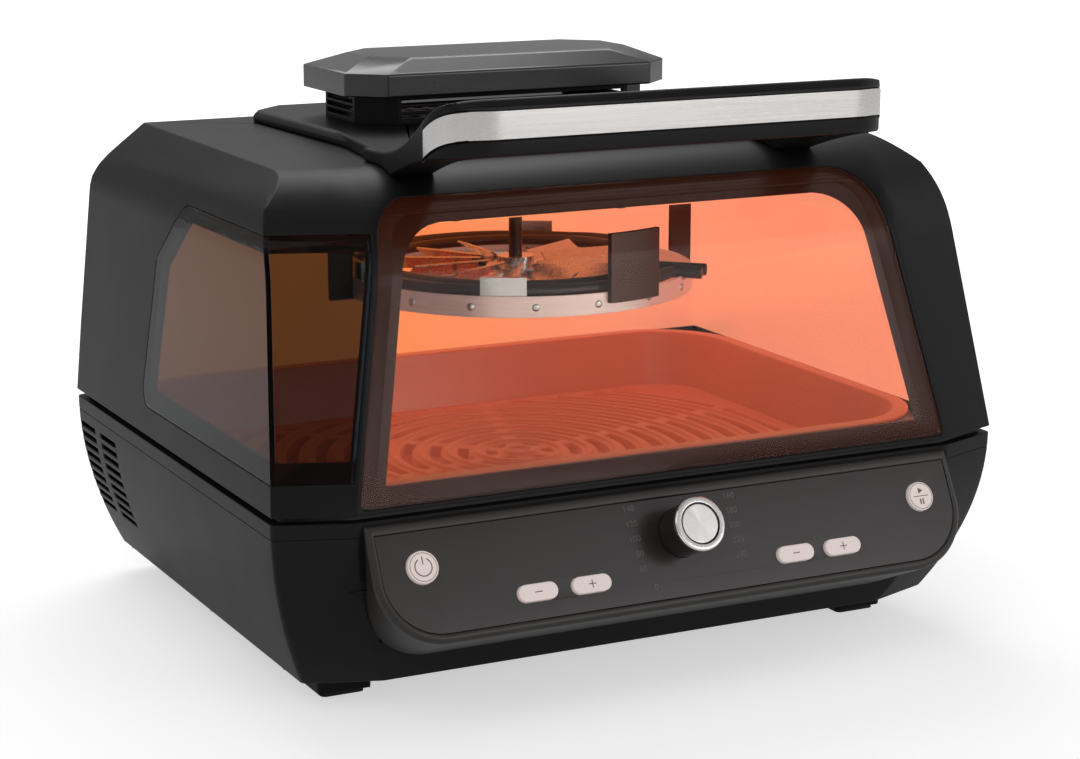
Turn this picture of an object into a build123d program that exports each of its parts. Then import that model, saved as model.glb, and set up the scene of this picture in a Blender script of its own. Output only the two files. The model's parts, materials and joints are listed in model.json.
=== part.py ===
from build123d import *
from math import cos, radians, sin, tan
import os

# A countertop air fryer oven: a low base with a tilted control panel, and a glazed lid hinged at the rear.
# Millimetres. X runs across, front is -Y, Z is up, and the origin is on the ground at the middle of the box.

os.makedirs("parts", exist_ok=True)

on_base = (Align.CENTER, Align.CENTER, Align.MIN)

# Overall
width = 445.0
rear_y = 189.0
ground_gap = 17.0
rim_z = 114.0
lid_gap = 3.5
roof_z = 282.5

# Base walls, which tuck in with the square of the depth below the rim
side_tuck = 0.00274
front_tuck = 0.0030
base_wall = 2.6
rim_band = 8.0
rim_plate = 3.0
nose_in = 40.5
nose_y = -159.0
facet_angle = 20.0
edge_round = 4.0

# Side vents of the base
vent_rows = 9
vent_pitch = 6.3
vent_top_z = 97.0
vent_height = 3.0
vent_length = 29.0
vent_columns = (131.5, 171.5)

# Bottom plate and feet
plate_thickness = 2.5
foot_in = 42.0
foot_width = 31.0
foot_depth = 32.0
front_foot_y = -99.0
rear_foot_y = 131.0
pad_thickness = 2.5
pad_inset = 3.0
wiring_cover_x = 74.0
wiring_cover_y = -88.0
wiring_cover_width = 54.0
wiring_cover_depth = 42.0
wiring_cover_height = 6.0
cord_inlet_in = 72.5
cord_inlet_z = 48.0
cord_bush_r = 6.0
cord_bush_out = 8.0
cord_hole_r = 3.6
screw_r = 1.7
screw_head_r = 3.2
screw_head = 1.6
screw_fit = 0.1
boss_r = 4.5
boss_height = 9.0
boss_sink = 2.6
boss_front_in = 74.0
boss_middle_back = 15.0
boss_rear_in = 14.6
air_slot_y = 95.0
air_slot_length = 9.0
air_slot_height = 3.0
air_slot_pitch = 12.0
air_slot_rows = 4
air_slot_columns = 9

# Lid walls
side_lean = 0.096
rear_shoulder_drop = 42.0
crease_in_rear = 22.5
crease_drop_rear = 20.0
top_in_rear = 42.0
crease_in_front = 18.0
crease_drop_front = 14.0
top_in_front = 37.0
front_lean = 0.222
pillar_lean = 0.287
shoulder_r = 69.0
pillar_shoulder_r = 73.0
rear_upright = 40.0
rear_lean = 3.0
rear_chamfer_z = 266.0
rear_chamfer_y = 178.0
rear_top_y = 167.0
lid_wall = 3.0

# Glazing
glass_thickness = 4.0
glass_fit = 0.3
pane_low = 2.5
pane_top_z = 270.0
pane_margin = 2.5
pane_taper = 0.2
pane_corner_r = 24.0
pane_foot_r = 3.0
frame_depth = 3.2
frame_lap = 9.0
frame_skirt = 5.0
post_width = 4.0
side_pane_low_z = 134.0
side_pane_rear_y = 66.0
side_pane_shoulder_y = 54.0
side_pane_shoulder_z = 220.0
side_pane_top_z = 255.0
side_pane_top_y = 15.0

# Lid lining and seal
liner_skin = 10.0
liner_wall = 1.2
ceiling_z = 238.0
lid_ring = 2.5
lid_ring_width = 12.0
seal_skin = 6.0
seal_width = 3.4
seal_gap = 0.3

# Cooking pot, its well and the grill plate
pot_ledge_side = 18.5
pot_ledge_front = 33.0
pot_ledge_rear = 17.0
pot_corner_r = 56.0
pot_rim_z = 123.0
pot_flange = 7.0
pot_wall = 2.0
pot_floor_z = 62.0
pot_draft = 15.0
pot_round = 8.0
well_gap = 5.0
well_wall = 1.0
well_flange = 8.0
grill_top_z = 90.0
grill_thickness = 7.0
grill_gap = 3.0
grill_leg_r = 7.0
grill_slot = 7.0
grill_ring_pitch = 17.0
grill_rings = 10
grill_rib = 1.6
grill_rib_width = 4.0
grill_spokes = 6

# Control panel: a tongue-shaped housing with an inset fascia
panel_tilt = 26.8
panel_top_y = -161.7
panel_top_z = 112.0
panel_in = 2.0
panel_drop = 64.8
panel_corner_r = 36.0
panel_wall = 3.0
panel_lip = 5.0
panel_recess = 2.4
panel_back_y = -146.0
panel_back_low_z = 34.0
panel_back_in = 6.0
panel_round = 3.0
fascia_thickness = 2.0
fascia_fit = 0.2
button_fit = 0.3
button_travel = 1.2
button_proud = 2.2
button_flange = 1.2
button_stem = 1.5
button_round = 0.8
power_in = 28.0
power_drop = 24.4
power_r = 8.6
start_in = 26.0
start_r = 8.2
pill_xs = (-91.0, -59.5, 66.2, 96.6)
pill_drop = 45.6
pill_length = 22.9
pill_height = 9.2
knob_drop = 25.3
knob_r = 14.8
knob_height = 22.7
knob_gap = 0.8
knob_ring_height = 3.0
knob_ring_wall = 3.4
knob_disc_sink = 0.6
knob_disc_thickness = 1.6
knob_disc_gap = 0.9
knob_wall = 2.2
shaft_r = 3.0
shaft_fit = 0.05
board_thickness = 1.6
board_depth = 12.0
board_way_edge = 4.0
board_way_depth = 32.0
board_in = 20.0
board_low = 12.0
board_high = 51.0
encoder_size = 14.0
encoder_height = 6.0

# Power board and the lid's locating lugs
power_board_x = -60.0
power_board_y = 30.0
power_board_z = 27.0
power_board_width = 130.0
power_board_depth = 100.0
lug_in = 47.5
lug_y = -137.0
lug_width = 24.0
lug_depth = 9.0
lug_height = 6.5

# Handle, top deck and the vent stack
deck_top_z = 290.0
deck_bevel = 3.0
deck_sink = 8.0
deck_lip = 15.0
deck_rear_y = 158.0
deck_rear_half = 100.0
deck_side_half = 122.0
deck_side_y = 138.0
deck_waist_half = 118.0
deck_waist_y = 5.0
deck_front_half = 130.0
deck_front_y = -77.0
handle_front_y = -172.0
handle_half = 137.0
handle_corner_r = 31.0
handle_depth = 25.0
handle_low_z = 298.0
handle_top_z = 327.0
handle_bevel = 4.0
handle_corner_drop = 11.5
handle_corner_sag = 5.0
arm_width = 26.0
strip_low_z = 306.5
strip_high_z = 321.0
strip_thickness = 1.6
strip_proud = 0.5
strip_end_slope = 0.64
cap_half = 104.0
cap_front_y = 18.0
cap_rear_y = 118.0
cap_cut_x = 19.0
cap_cut_y = 18.0
cap_low_z = 307.0
cap_side_z = 320.0
cap_top_z = 328.0
cap_bevel_x = 20.0
cap_bevel_front = 14.0
cap_bevel_rear = 20.0
cap_wall = 3.0
neck_inset = 10.0
neck_wall = 3.0
louvre_rows = 3
louvre_height = 2.4
filter_thickness = 2.0
filter_gap = 0.4
filter_pitch = 10.0

# Fan, motor and heater
fan_y = 28.0
fan_r = 68.0
fan_low_z = 199.0
fan_plate = 1.2
fan_plate_r = 26.0
fan_hub_height = 10.0
fan_blades = 12
fan_blade_width = 15.0
fan_blade_pitch = 35.0
fan_blade_thickness = 1.2
fan_blade_lap = 6.0
blade_root = 1.5
fan_hub_r = 11.0
fan_shaft_r = 4.0
cooling_fan_r = 56.0
cooling_fan_z = 243.0
cooling_fan_height = 8.0
cooling_blades = 9
motor_r = 36.0
motor_low_z = 255.0
motor_height = 18.0
bracket_plate = 1.6
bracket_r = 66.0
bracket_leg_r = 3.0
shaft_end = 2.0
nut_height = 6.0
nut_across = 13.0
heater_tube_r = 3.5
heater_outer_r = 97.0
heater_inner_r = 82.0
heater_z = 205.0
heater_tail = -50.0
heater_tail_step = 6.0
heater_bend_r = 6.5
heater_tail_length = 11.0
heater_turn = 20.0
ring_reach = 8.0
ring_wall = 1.4
ring_low_z = 191.5
ring_height = 12.0
ring_flange = 7.0
tail_notch = 22.0
tail_notch_turn = 6.5
tail_gap = 0.5
guard_rings = 6
guard_pitch = 16.0
guard_wire = 2.0
guard_thickness = 1.6
guard_spokes = 8
guard_gap = 0.3
hanger_reach = 14.0
hanger_thickness = 3.0
hanger_angles = (0.0, 180.0)
clip_angles = (-120.0, 58.0, 178.0)
clip_width = 26.0
clip_top_z = 214.0
terminal_angle = -77.0
terminal_width = 36.0
terminal_thickness = 3.2
terminal_lift = 6.0

# Hinge
hinge_x = 120.0
hinge_axis_y = 195.5
hinge_axis_z = 116.0
knuckle_r = 6.0
knuckle_length = 16.0
knuckle_gap = 0.4
hinge_leaf = 2.0
hinge_leaf_height = 20.0
pin_r = 2.6
pin_fit = 0.05

# Worked out from the above
half = width / 2
nose_half = half - nose_in
panel_half = nose_half - panel_in
panel_back_half = panel_half - panel_back_in
board_half = panel_half - board_in
pot_half = half - pot_ledge_side
pot_front_y = nose_y + pot_ledge_front
pot_rear_y = rear_y - pot_ledge_rear
foot_outer_x = half - foot_in
cord_inlet_x = half - cord_inlet_in
lug_x = half - lug_in
ring_outer_r = heater_outer_r + ring_reach
fan_shaft_z = fan_low_z - nut_height - shaft_end
lid_z = rim_z + lid_gap
facet_slope = tan(radians(facet_angle))
pane_half_low = nose_half - pane_margin
panel_normal = (0, -cos(radians(panel_tilt)), sin(radians(panel_tilt)))
panel_plane = Plane(origin=(0, panel_top_y, panel_top_z), x_dir=(1, 0, 0), z_dir=panel_normal)
panel_axis = Axis((0, panel_top_y, panel_top_z), panel_normal)
power_place = (power_in - panel_half, -power_drop)
start_place = (panel_half - start_in, -power_drop)
handle_corner_y = handle_front_y + handle_corner_r
button_places = [power_place, start_place] + [(x, -pill_drop) for x in pill_xs]


def base_form(low, high, skin=0.0):
    """The outside of the base between two heights, or the same shape a skin's depth inside it."""
    levels = 5
    with BuildPart() as form:
        for level in range(levels):
            z = low + (high - low) * level / (levels - 1)
            drop = max(rim_z - z, 0.0)
            side_x = half - side_tuck * drop**2 - skin
            front_in = front_tuck * drop**2 + skin
            crease_y = nose_y + (half - nose_half) * facet_slope + front_in
            nose_x = side_x - (half - nose_half)
            with BuildSketch(Plane.XY.offset(z)) as outline:
                with BuildLine():
                    Polyline(
                        (nose_x, nose_y + front_in),
                        (side_x, crease_y),
                        (side_x, rear_y - skin),
                        (-side_x, rear_y - skin),
                        (-side_x, crease_y),
                        (-nose_x, nose_y + front_in),
                        close=True,
                    )
                make_face()
                fillet(outline.vertices(), max(edge_round - skin, 1.0))
        loft()
    return form.part


def hood_form(skin=0.0):
    """The outside of the lid, or the same shape a skin's depth inside it with its open bottom run through."""
    low = lid_z - 3 * skin
    low_half = half + side_lean * (lid_z - low)
    with BuildPart() as form:
        for y, crease_in, crease_drop, top_in in (
            (rear_y + 20, crease_in_rear, crease_drop_rear, top_in_rear),
            (nose_y - 20, crease_in_front, crease_drop_front, top_in_front),
        ):
            shoulder_z = roof_z - rear_shoulder_drop
            shoulder_x = half - side_lean * (shoulder_z - lid_z)
            with BuildSketch(Plane.XZ.offset(-y)):
                with BuildLine():
                    right_wall = Line((low_half, low), (shoulder_x, shoulder_z))
                    right_bend = TangentArc(
                        (shoulder_x, shoulder_z),
                        (half - crease_in, roof_z - crease_drop),
                        tangent=right_wall % 1,
                    )
                    right_slope = Line(right_bend @ 1, (half - top_in, roof_z))
                    mirror(right_wall, about=Plane.YZ)
                    mirror(right_bend, about=Plane.YZ)
                    mirror(right_slope, about=Plane.YZ)
                    Line((half - top_in, roof_z), (top_in - half, roof_z))
                    Line((low_half, low), (-low_half, low))
                make_face()
                if skin > 0:
                    offset(amount=-skin, kind=Kind.INTERSECTION)
        loft(ruled=True)
        with BuildSketch(Plane.YZ.offset(-width)) as lengthways:
            with BuildLine():
                Polyline(
                    (front_y(low), low),
                    (front_y(roof_z), roof_z),
                    (rear_top_y, roof_z),
                    (rear_chamfer_y, rear_chamfer_z),
                    (rear_y - rear_lean, rear_chamfer_z - 2 * (rear_y - rear_lean - rear_chamfer_y)),
                    (rear_y, lid_z + rear_upright),
                    (rear_y, low),
                    close=True,
                )
            make_face()
            fillet(lengthways.vertices().group_by(Axis.Y)[-1].sort_by(Axis.X)[0], shoulder_r)
            if skin > 0:
                offset(amount=-skin, kind=Kind.INTERSECTION)
        extrude(amount=2 * width, mode=Mode.INTERSECT)
    for side in (1, -1):
        with BuildPart() as facet:
            with BuildSketch(Plane.YZ) as slanted:
                with BuildLine():
                    Polyline(
                        (pillar_y(low), low),
                        (pillar_y(roof_z), roof_z),
                        (width, roof_z),
                        (width, low),
                        close=True,
                    )
                make_face()
                fillet(slanted.vertices().group_by(Axis.Y)[-1].sort_by(Axis.X)[0], pillar_shoulder_r)
                if skin > 0:
                    offset(amount=-skin / cos(radians(facet_angle)), kind=Kind.INTERSECTION)
            extrude(amount=width, dir=(side, facet_slope, 0))
            extrude(slanted.sketch, amount=width, dir=(-side, -facet_slope, 0))
        with BuildPart() as trimmed:
            add(form.part)
            add(facet.part, mode=Mode.INTERSECT)
        form = trimmed
    return form.part


def front_y(z):
    """Where the window's plane stands at a height."""
    return nose_y + front_lean * (z - lid_z)


def pillar_y(z):
    """Where the pillar's facet, carried on to the middle, stands at a height."""
    return nose_y - nose_half * facet_slope + pillar_lean * (z - lid_z)


def rounded_block(inset, low, high, draft=0.0):
    """A block whose plan is the pot's rim drawn in by inset, and by draft more at the low level."""
    with BuildPart() as block:
        for z, more in ((low, draft), (high, 0.0)):
            with BuildSketch(Plane.XY.offset(z)):
                with Locations((0, (pot_front_y + pot_rear_y) / 2)):
                    RectangleRounded(
                        2 * (pot_half - inset - more),
                        pot_rear_y - pot_front_y - 2 * (inset + more),
                        max(pot_corner_r - inset - more, 2.0),
                    )
        loft(ruled=True)
    return block.part


def front_pane_prism(grow):
    """A bar along Y with the front pane's outline, grown by an amount all round."""
    low = lid_z + pane_low
    top_half = pane_half_low - pane_taper * (pane_top_z - low)
    with BuildPart() as prism:
        with BuildSketch(Plane.XZ.offset(0)) as outline:
            with BuildLine():
                Polyline(
                    (pane_half_low, low),
                    (top_half, pane_top_z),
                    (-top_half, pane_top_z),
                    (-pane_half_low, low),
                    close=True,
                )
            make_face()
            fillet(outline.vertices().group_by(Axis.Y)[-1], pane_corner_r)
            fillet(outline.vertices().group_by(Axis.Y)[0], pane_foot_r)
            if grow:
                offset(amount=grow)
        extrude(amount=width)
    return prism.part


def side_pane_prism(grow):
    """A bar along -X with the left pane's outline, grown by an amount all round."""
    with BuildPart() as prism:
        with BuildSketch(Plane.YZ.offset(-width)) as outline:
            with BuildLine():
                Polyline(
                    (side_pane_rear_y, side_pane_low_z),
                    (side_pane_shoulder_y, side_pane_shoulder_z),
                    (side_pane_top_y, side_pane_top_z),
                    (2 * nose_y, side_pane_top_z),
                    (2 * nose_y, side_pane_low_z),
                    close=True,
                )
            make_face()
            fillet(outline.vertices().group_by(Axis.X)[1:], pane_corner_r / 2)
            if grow:
                offset(amount=grow)
        extrude(amount=width - ring_outer_r)
    return prism.part


def tongue(plane, side, low, corner, high=0.0):
    """The panel's outline on a plane: a box whose two lower corners are rounded."""
    with BuildSketch(plane) as face:
        with BuildLine():
            Polyline((-side, high), (side, high), (side, low), (-side, low), close=True)
        make_face()
        fillet(face.vertices().group_by(Axis.Y)[0], corner)
    return face.sketch


def housing_back(depth, inset):
    """The housing's outline where it meets the base, a depth further back and drawn in by an inset."""
    return tongue(
        Plane.XZ.offset(-panel_back_y - depth),
        panel_back_half - inset,
        panel_back_low_z + inset,
        panel_corner_r - inset,
        rim_z - rim_plate - inset,
    )


def panel_outline(depth, inset):
    """The panel's outline at a depth behind its plane, drawn in by an amount."""
    return tongue(
        panel_plane.offset(-depth), panel_half - inset, inset - panel_drop, panel_corner_r - inset, -inset
    )


def button_face(depth, place, grow=0.0):
    """One button's outline at a depth behind the panel's plane, grown by an amount."""
    with BuildSketch(panel_plane.offset(-depth)) as face:
        with Locations(place):
            if place == power_place:
                Circle(power_r + grow)
            elif place == start_place:
                Circle(start_r + grow)
            else:
                SlotOverall(pill_length + 2 * grow, pill_height + 2 * grow)
    return face.sketch


def button_outline(depth, grow):
    """The six buttons' outlines at a depth behind the panel's plane, grown by an amount."""
    with BuildSketch(panel_plane.offset(-depth)) as outlines:
        for place in button_places:
            add(button_face(0, place, grow).moved(panel_plane.location.inverse()))
    return outlines.sketch


def octagon(z, inset, front_inset=None, rear_inset=None):
    """The cap's eight-sided outline at a height, drawn in by an amount."""
    front_in = inset if front_inset is None else front_inset
    rear_in = inset if rear_inset is None else rear_inset
    x = cap_half - inset
    front = cap_front_y + front_in
    rear = cap_rear_y - rear_in
    with BuildSketch(Plane.XY.offset(z)) as outline:
        with BuildLine():
            Polyline(
                (x - cap_cut_x, front),
                (x, front + cap_cut_y),
                (x, rear - cap_cut_y),
                (x - cap_cut_x, rear),
                (cap_cut_x - x, rear),
                (-x, rear - cap_cut_y),
                (-x, front + cap_cut_y),
                (cap_cut_x - x, front),
                close=True,
            )
        make_face()
    return outline.sketch


def handle_loop(grow):
    """The handle's outer outline in plan, grown by an amount, from arm to arm."""
    with BuildSketch(Plane.XY.offset(handle_low_z - handle_depth)) as outline:
        with BuildLine():
            Polyline(
                (deck_front_half, deck_front_y + arm_width),
                (deck_front_half, deck_front_y),
                (handle_half, handle_front_y),
                (-handle_half, handle_front_y),
                (-deck_front_half, deck_front_y),
                (-deck_front_half, deck_front_y + arm_width),
                close=True,
            )
        make_face()
        fillet(outline.vertices().group_by(Axis.Y)[0], handle_corner_r)
        if grow:
            offset(amount=grow, kind=Kind.INTERSECTION)
    return outline.sketch


# Outside forms used more than once
outer_hood = hood_form()
wall_hood = hood_form(lid_wall)
glass_hood = hood_form(glass_thickness)
frame_hood = hood_form(glass_thickness + frame_depth)
side_opening = side_pane_prism(glass_fit) - front_pane_prism(post_width)
side_pane_bar = side_pane_prism(0) - front_pane_prism(post_width + glass_fit)
base_walls = base_form(ground_gap, rim_z - rim_band)
base_band = base_form(rim_z - rim_band, rim_z)

# Base shell: the wall round the base, open above and below, with vents low at the rear of both sides
boss_places = [
    (side * (half - side_tuck * (rim_z - ground_gap) ** 2 - base_wall - boss_r + boss_sink), y)
    for side in (1, -1)
    for y in (nose_y + boss_front_in, (nose_y + rear_y) / 2 + boss_middle_back, rear_y - boss_rear_in)
]
board_way_height = rim_z - rim_band - panel_back_low_z - 3 * board_way_edge
board_way_z = (panel_back_low_z + rim_z - rim_band) / 2 + board_way_edge
with BuildPart() as base_shell:
    add(base_walls)
    add(base_form(ground_gap - 1, rim_z, base_wall), mode=Mode.SUBTRACT)
    with BuildSketch(Plane.XY.offset(ground_gap + plate_thickness)):
        with Locations(*boss_places):
            Circle(boss_r)
    extrude(amount=boss_height)
    with BuildSketch(Plane.XY.offset(ground_gap + plate_thickness)):
        with Locations(*boss_places):
            Circle(screw_r)
    extrude(amount=boss_height, mode=Mode.SUBTRACT)
    for row in range(vent_rows):
        for column_y in vent_columns:
            with Locations((0, column_y, vent_top_z - row * vent_pitch)):
                Box(2 * width, vent_length, vent_height, mode=Mode.SUBTRACT)
    with BuildSketch(Plane.XZ.offset(-panel_back_y + board_depth)):
        with Locations((0, board_way_z)):
            Rectangle(2 * (board_half + board_way_edge), board_way_height)
    extrude(amount=-board_depth - board_way_depth, mode=Mode.SUBTRACT)
    with BuildSketch(Plane.XZ.offset(-rear_y - 1)):
        with Locations((cord_inlet_x, cord_inlet_z)):
            Circle(cord_bush_r)
    extrude(amount=base_wall + 2, mode=Mode.SUBTRACT)
base_shell.part.label = "base_shell"
export_step(base_shell.part, "parts/base_shell.step")

# Base rim: the band round the top with the opening that the well hangs in
with BuildPart() as base_rim:
    add(base_band)
    add(base_form(rim_z - rim_band - 1, rim_z - rim_plate, base_wall), mode=Mode.SUBTRACT)
    add(rounded_block(0, rim_z - rim_band - 1, rim_z + 1), mode=Mode.SUBTRACT)
base_rim.part.label = "base_rim"
export_step(base_rim.part, "parts/base_rim.step")

# Bottom plate, held by screws in the shell's bosses
with BuildPart() as bottom_plate:
    add(base_form(ground_gap, ground_gap + plate_thickness, base_wall + glass_fit))
    with BuildSketch(Plane.XY.offset(ground_gap)):
        with Locations(*boss_places):
            Circle(screw_r + screw_fit)
        with Locations((0, air_slot_y)):
            with GridLocations(air_slot_pitch, 3 * air_slot_height, air_slot_columns, air_slot_rows):
                SlotOverall(air_slot_length, air_slot_height)
    extrude(amount=plate_thickness, mode=Mode.SUBTRACT)
bottom_plate.part.label = "bottom_plate"
export_step(bottom_plate.part, "parts/bottom_plate.step")

with BuildPart() as bottom_screws:
    with BuildSketch(Plane.XY.offset(ground_gap - screw_head)):
        with Locations(*boss_places):
            Circle(screw_head_r)
    extrude(amount=screw_head)
    with BuildSketch(Plane.XY.offset(ground_gap)):
        with Locations(*boss_places):
            Circle(screw_r - screw_fit)
    extrude(amount=plate_thickness + boss_height - 1)
bottom_screws.part.label = "bottom_screws"
export_step(bottom_screws.part, "parts/bottom_screws.step")

# Feet: four blocks with rubber pads under them
foot_x = foot_outer_x - foot_width / 2
foot_rows = (front_foot_y + foot_depth / 2, rear_foot_y - foot_depth / 2)
foot_places = [(side * foot_x, y) for side in (1, -1) for y in foot_rows]
with BuildPart() as feet:
    with BuildSketch(Plane.XY.offset(pad_thickness)):
        with Locations(*foot_places):
            RectangleRounded(foot_width, foot_depth, 3)
    extrude(amount=ground_gap - pad_thickness, taper=-2)
feet.part.label = "feet"
export_step(feet.part, "parts/feet.step")

with BuildPart() as foot_pads:
    with BuildSketch():
        with Locations(*foot_places):
            RectangleRounded(foot_width - 2 * pad_inset, foot_depth - 2 * pad_inset, 3)
    extrude(amount=pad_thickness)
foot_pads.part.label = "foot_pads"
export_step(foot_pads.part, "parts/foot_pads.step")

# Wiring cover: the shallow box under the bottom plate
with BuildPart() as wiring_cover:
    with BuildSketch(Plane.XY.offset(ground_gap - wiring_cover_height)):
        with Locations((wiring_cover_x, wiring_cover_y)):
            RectangleRounded(wiring_cover_width, wiring_cover_depth, 3)
    extrude(amount=wiring_cover_height)
wiring_cover.part.label = "wiring_cover"
export_step(wiring_cover.part, "parts/wiring_cover.step")

# Cord inlet: the bush in the rear wall that a cord would leave by
with BuildPart() as cord_bush:
    with BuildSketch(Plane.XZ.offset(-rear_y)):
        with Locations((cord_inlet_x, cord_inlet_z)):
            Circle(cord_bush_r + 2)
            Circle(cord_hole_r, mode=Mode.SUBTRACT)
    extrude(amount=-cord_bush_out, taper=8)
    with BuildSketch(Plane.XZ.offset(-rear_y)):
        with Locations((cord_inlet_x, cord_inlet_z)):
            Circle(cord_bush_r - screw_fit)
            Circle(cord_hole_r, mode=Mode.SUBTRACT)
    extrude(amount=base_wall + 3)
cord_bush.part.label = "cord_bush"
export_step(cord_bush.part, "parts/cord_bush.step")

# Heat well: the steel tub that hangs in the rim and carries the pot
well_top_z = pot_rim_z - pot_wall
well_floor_z = pot_floor_z - well_gap
with BuildPart() as heat_well:
    well_inset = pot_flange - well_gap
    add(rounded_block(well_inset - well_wall, well_floor_z - well_wall, well_top_z, pot_draft))
    add(rounded_block(well_inset - well_wall - well_flange, rim_z, rim_z + well_wall))
    add(rounded_block(well_inset, well_floor_z, well_top_z, pot_draft), mode=Mode.SUBTRACT)
heat_well.part.label = "heat_well"
export_step(heat_well.part, "parts/heat_well.step")

# Cooking pot with a rolled-out rim
with BuildPart() as pot_hollow:
    add(rounded_block(pot_flange + pot_wall, pot_floor_z, pot_rim_z + 1, pot_draft))
    fillet(pot_hollow.faces().sort_by(Axis.Z)[0].edges(), pot_round - pot_wall)
with BuildPart() as cooking_pot:
    add(rounded_block(pot_flange, pot_floor_z - pot_wall, pot_rim_z, pot_draft))
    fillet(cooking_pot.faces().sort_by(Axis.Z)[0].edges(), pot_round)
    add(rounded_block(0, pot_rim_z - pot_wall, pot_rim_z))
    add(pot_hollow.part, mode=Mode.SUBTRACT)
cooking_pot.part.label = "cooking_pot"
export_step(cooking_pot.part, "parts/cooking_pot.step")

# Grill plate: slots and ribs in rings about the fan's axis, standing on four legs in the pot
pot_middle_y = (pot_front_y + pot_rear_y) / 2
grill_low_z = grill_top_z - grill_thickness
grill_inset = (
    pot_flange
    + pot_wall
    + pot_draft * (pot_rim_z - grill_low_z) / (pot_rim_z - pot_floor_z)
    + grill_gap
)
grill_half = pot_half - grill_inset
grill_half_depth = (pot_rear_y - pot_front_y) / 2 - grill_inset
grill_border = 12.0
with BuildPart() as grill_plate:
    add(rounded_block(grill_inset, grill_low_z, grill_top_z))
    with BuildSketch(Plane.XY.offset(grill_top_z)):
        with Locations((0, pot_middle_y)):
            for ring in reversed(range(grill_rings)):
                Circle((ring + 1) * grill_ring_pitch + grill_slot / 2)
                Circle((ring + 1) * grill_ring_pitch - grill_slot / 2, mode=Mode.SUBTRACT)
            with PolarLocations(0, grill_spokes, start_angle=90 / grill_spokes, rotate=True):
                with Locations((grill_half / 2 + grill_ring_pitch / 2, 0)):
                    Rectangle(grill_half, grill_slot + 2, mode=Mode.SUBTRACT)
            RectangleRounded(
                2 * (grill_half - grill_border),
                2 * (grill_half_depth - grill_border),
                pot_corner_r - grill_inset - grill_border,
                mode=Mode.INTERSECT,
            )
    extrude(amount=-grill_thickness, mode=Mode.SUBTRACT)
    with BuildSketch(Plane.XY.offset(grill_top_z)):
        with Locations((0, pot_middle_y)):
            for ring in reversed(range(grill_rings)):
                Circle((ring + 0.5) * grill_ring_pitch + grill_rib_width / 2)
                Circle((ring + 0.5) * grill_ring_pitch - grill_rib_width / 2, mode=Mode.SUBTRACT)
            RectangleRounded(
                2 * (grill_half - grill_border),
                2 * (grill_half_depth - grill_border),
                pot_corner_r - grill_inset - grill_border,
                mode=Mode.INTERSECT,
            )
    extrude(amount=grill_rib)
    with BuildSketch(Plane.XY.offset(pot_floor_z)):
        with Locations((0, pot_middle_y)):
            with GridLocations(2 * (grill_half - 40), 2 * (grill_half_depth - 40), 2, 2):
                Circle(grill_leg_r)
    extrude(amount=grill_low_z - pot_floor_z)
grill_plate.part.label = "grill_plate"
export_step(grill_plate.part, "parts/grill_plate.step")

# Control housing: a tongue-shaped shell standing out from the base's front, open at the back
with BuildPart() as housing_hollow:
    add(panel_outline(panel_recess + panel_wall, panel_lip))
    add(housing_back(1, panel_wall))
    loft()
with BuildPart() as control_housing:
    add(panel_outline(0, 0))
    add(housing_back(0, 0))
    loft()
    fillet(control_housing.faces().sort_by(Axis.Y)[0].outer_wire().edges(), panel_round)
    add(housing_hollow.part, mode=Mode.SUBTRACT)
    add([base_walls, base_band], mode=Mode.SUBTRACT)
    extrude(panel_outline(panel_recess, panel_lip), amount=panel_recess + 1, mode=Mode.SUBTRACT)
    way_depth = panel_recess + panel_wall + 1
    extrude(button_outline(way_depth, button_fit), amount=panel_wall + 2, mode=Mode.SUBTRACT)
    with BuildSketch(panel_plane):
        with Locations((0, -knob_drop)):
            Circle(2 * shaft_r)
    extrude(amount=-panel_recess - panel_wall - 1, mode=Mode.SUBTRACT)
control_housing.part.label = "control_housing"
export_step(control_housing.part, "parts/control_housing.step")

# Fascia: the dark plate set into the housing
with BuildPart() as fascia:
    extrude(panel_outline(panel_recess, panel_lip + fascia_fit), amount=fascia_thickness)
    extrude(button_outline(panel_recess, button_fit), amount=fascia_thickness, mode=Mode.SUBTRACT)
    with BuildSketch(panel_plane):
        with Locations((0, -knob_drop)):
            Circle(2 * shaft_r)
    extrude(amount=-panel_recess, mode=Mode.SUBTRACT)
fascia.part.label = "fascia"
export_step(fascia.part, "parts/fascia.step")

# Control board with six switches and the dial's encoder
switch_top = panel_recess + panel_wall + button_travel + button_flange + button_stem + 0.1
with BuildPart() as control_board:
    with BuildSketch(panel_plane.offset(-board_depth)):
        with Locations((0, -(board_low + board_high) / 2)):
            RectangleRounded(2 * board_half, board_high - board_low, 3)
        with Locations((0, -knob_drop)):
            Circle(1.5 * shaft_r, mode=Mode.SUBTRACT)
    extrude(amount=-board_thickness)
control_board.part.label = "control_board"
export_step(control_board.part, "parts/control_board.step")

with BuildPart() as switches:
    with BuildSketch(panel_plane.offset(-board_depth)):
        with Locations(*button_places):
            RectangleRounded(6, 6, 0.5)
    extrude(amount=board_depth - switch_top)
switches.part.label = "switches"
export_step(switches.part, "parts/switches.step")

with BuildPart() as encoder:
    with BuildSketch(panel_plane.offset(-board_depth - board_thickness)):
        with Locations((0, -knob_drop)):
            RectangleRounded(encoder_size, encoder_size, 1)
            Circle(shaft_r + shaft_fit, mode=Mode.SUBTRACT)
    extrude(amount=-encoder_height)
encoder.part.label = "encoder"
export_step(encoder.part, "parts/encoder.step")

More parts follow.
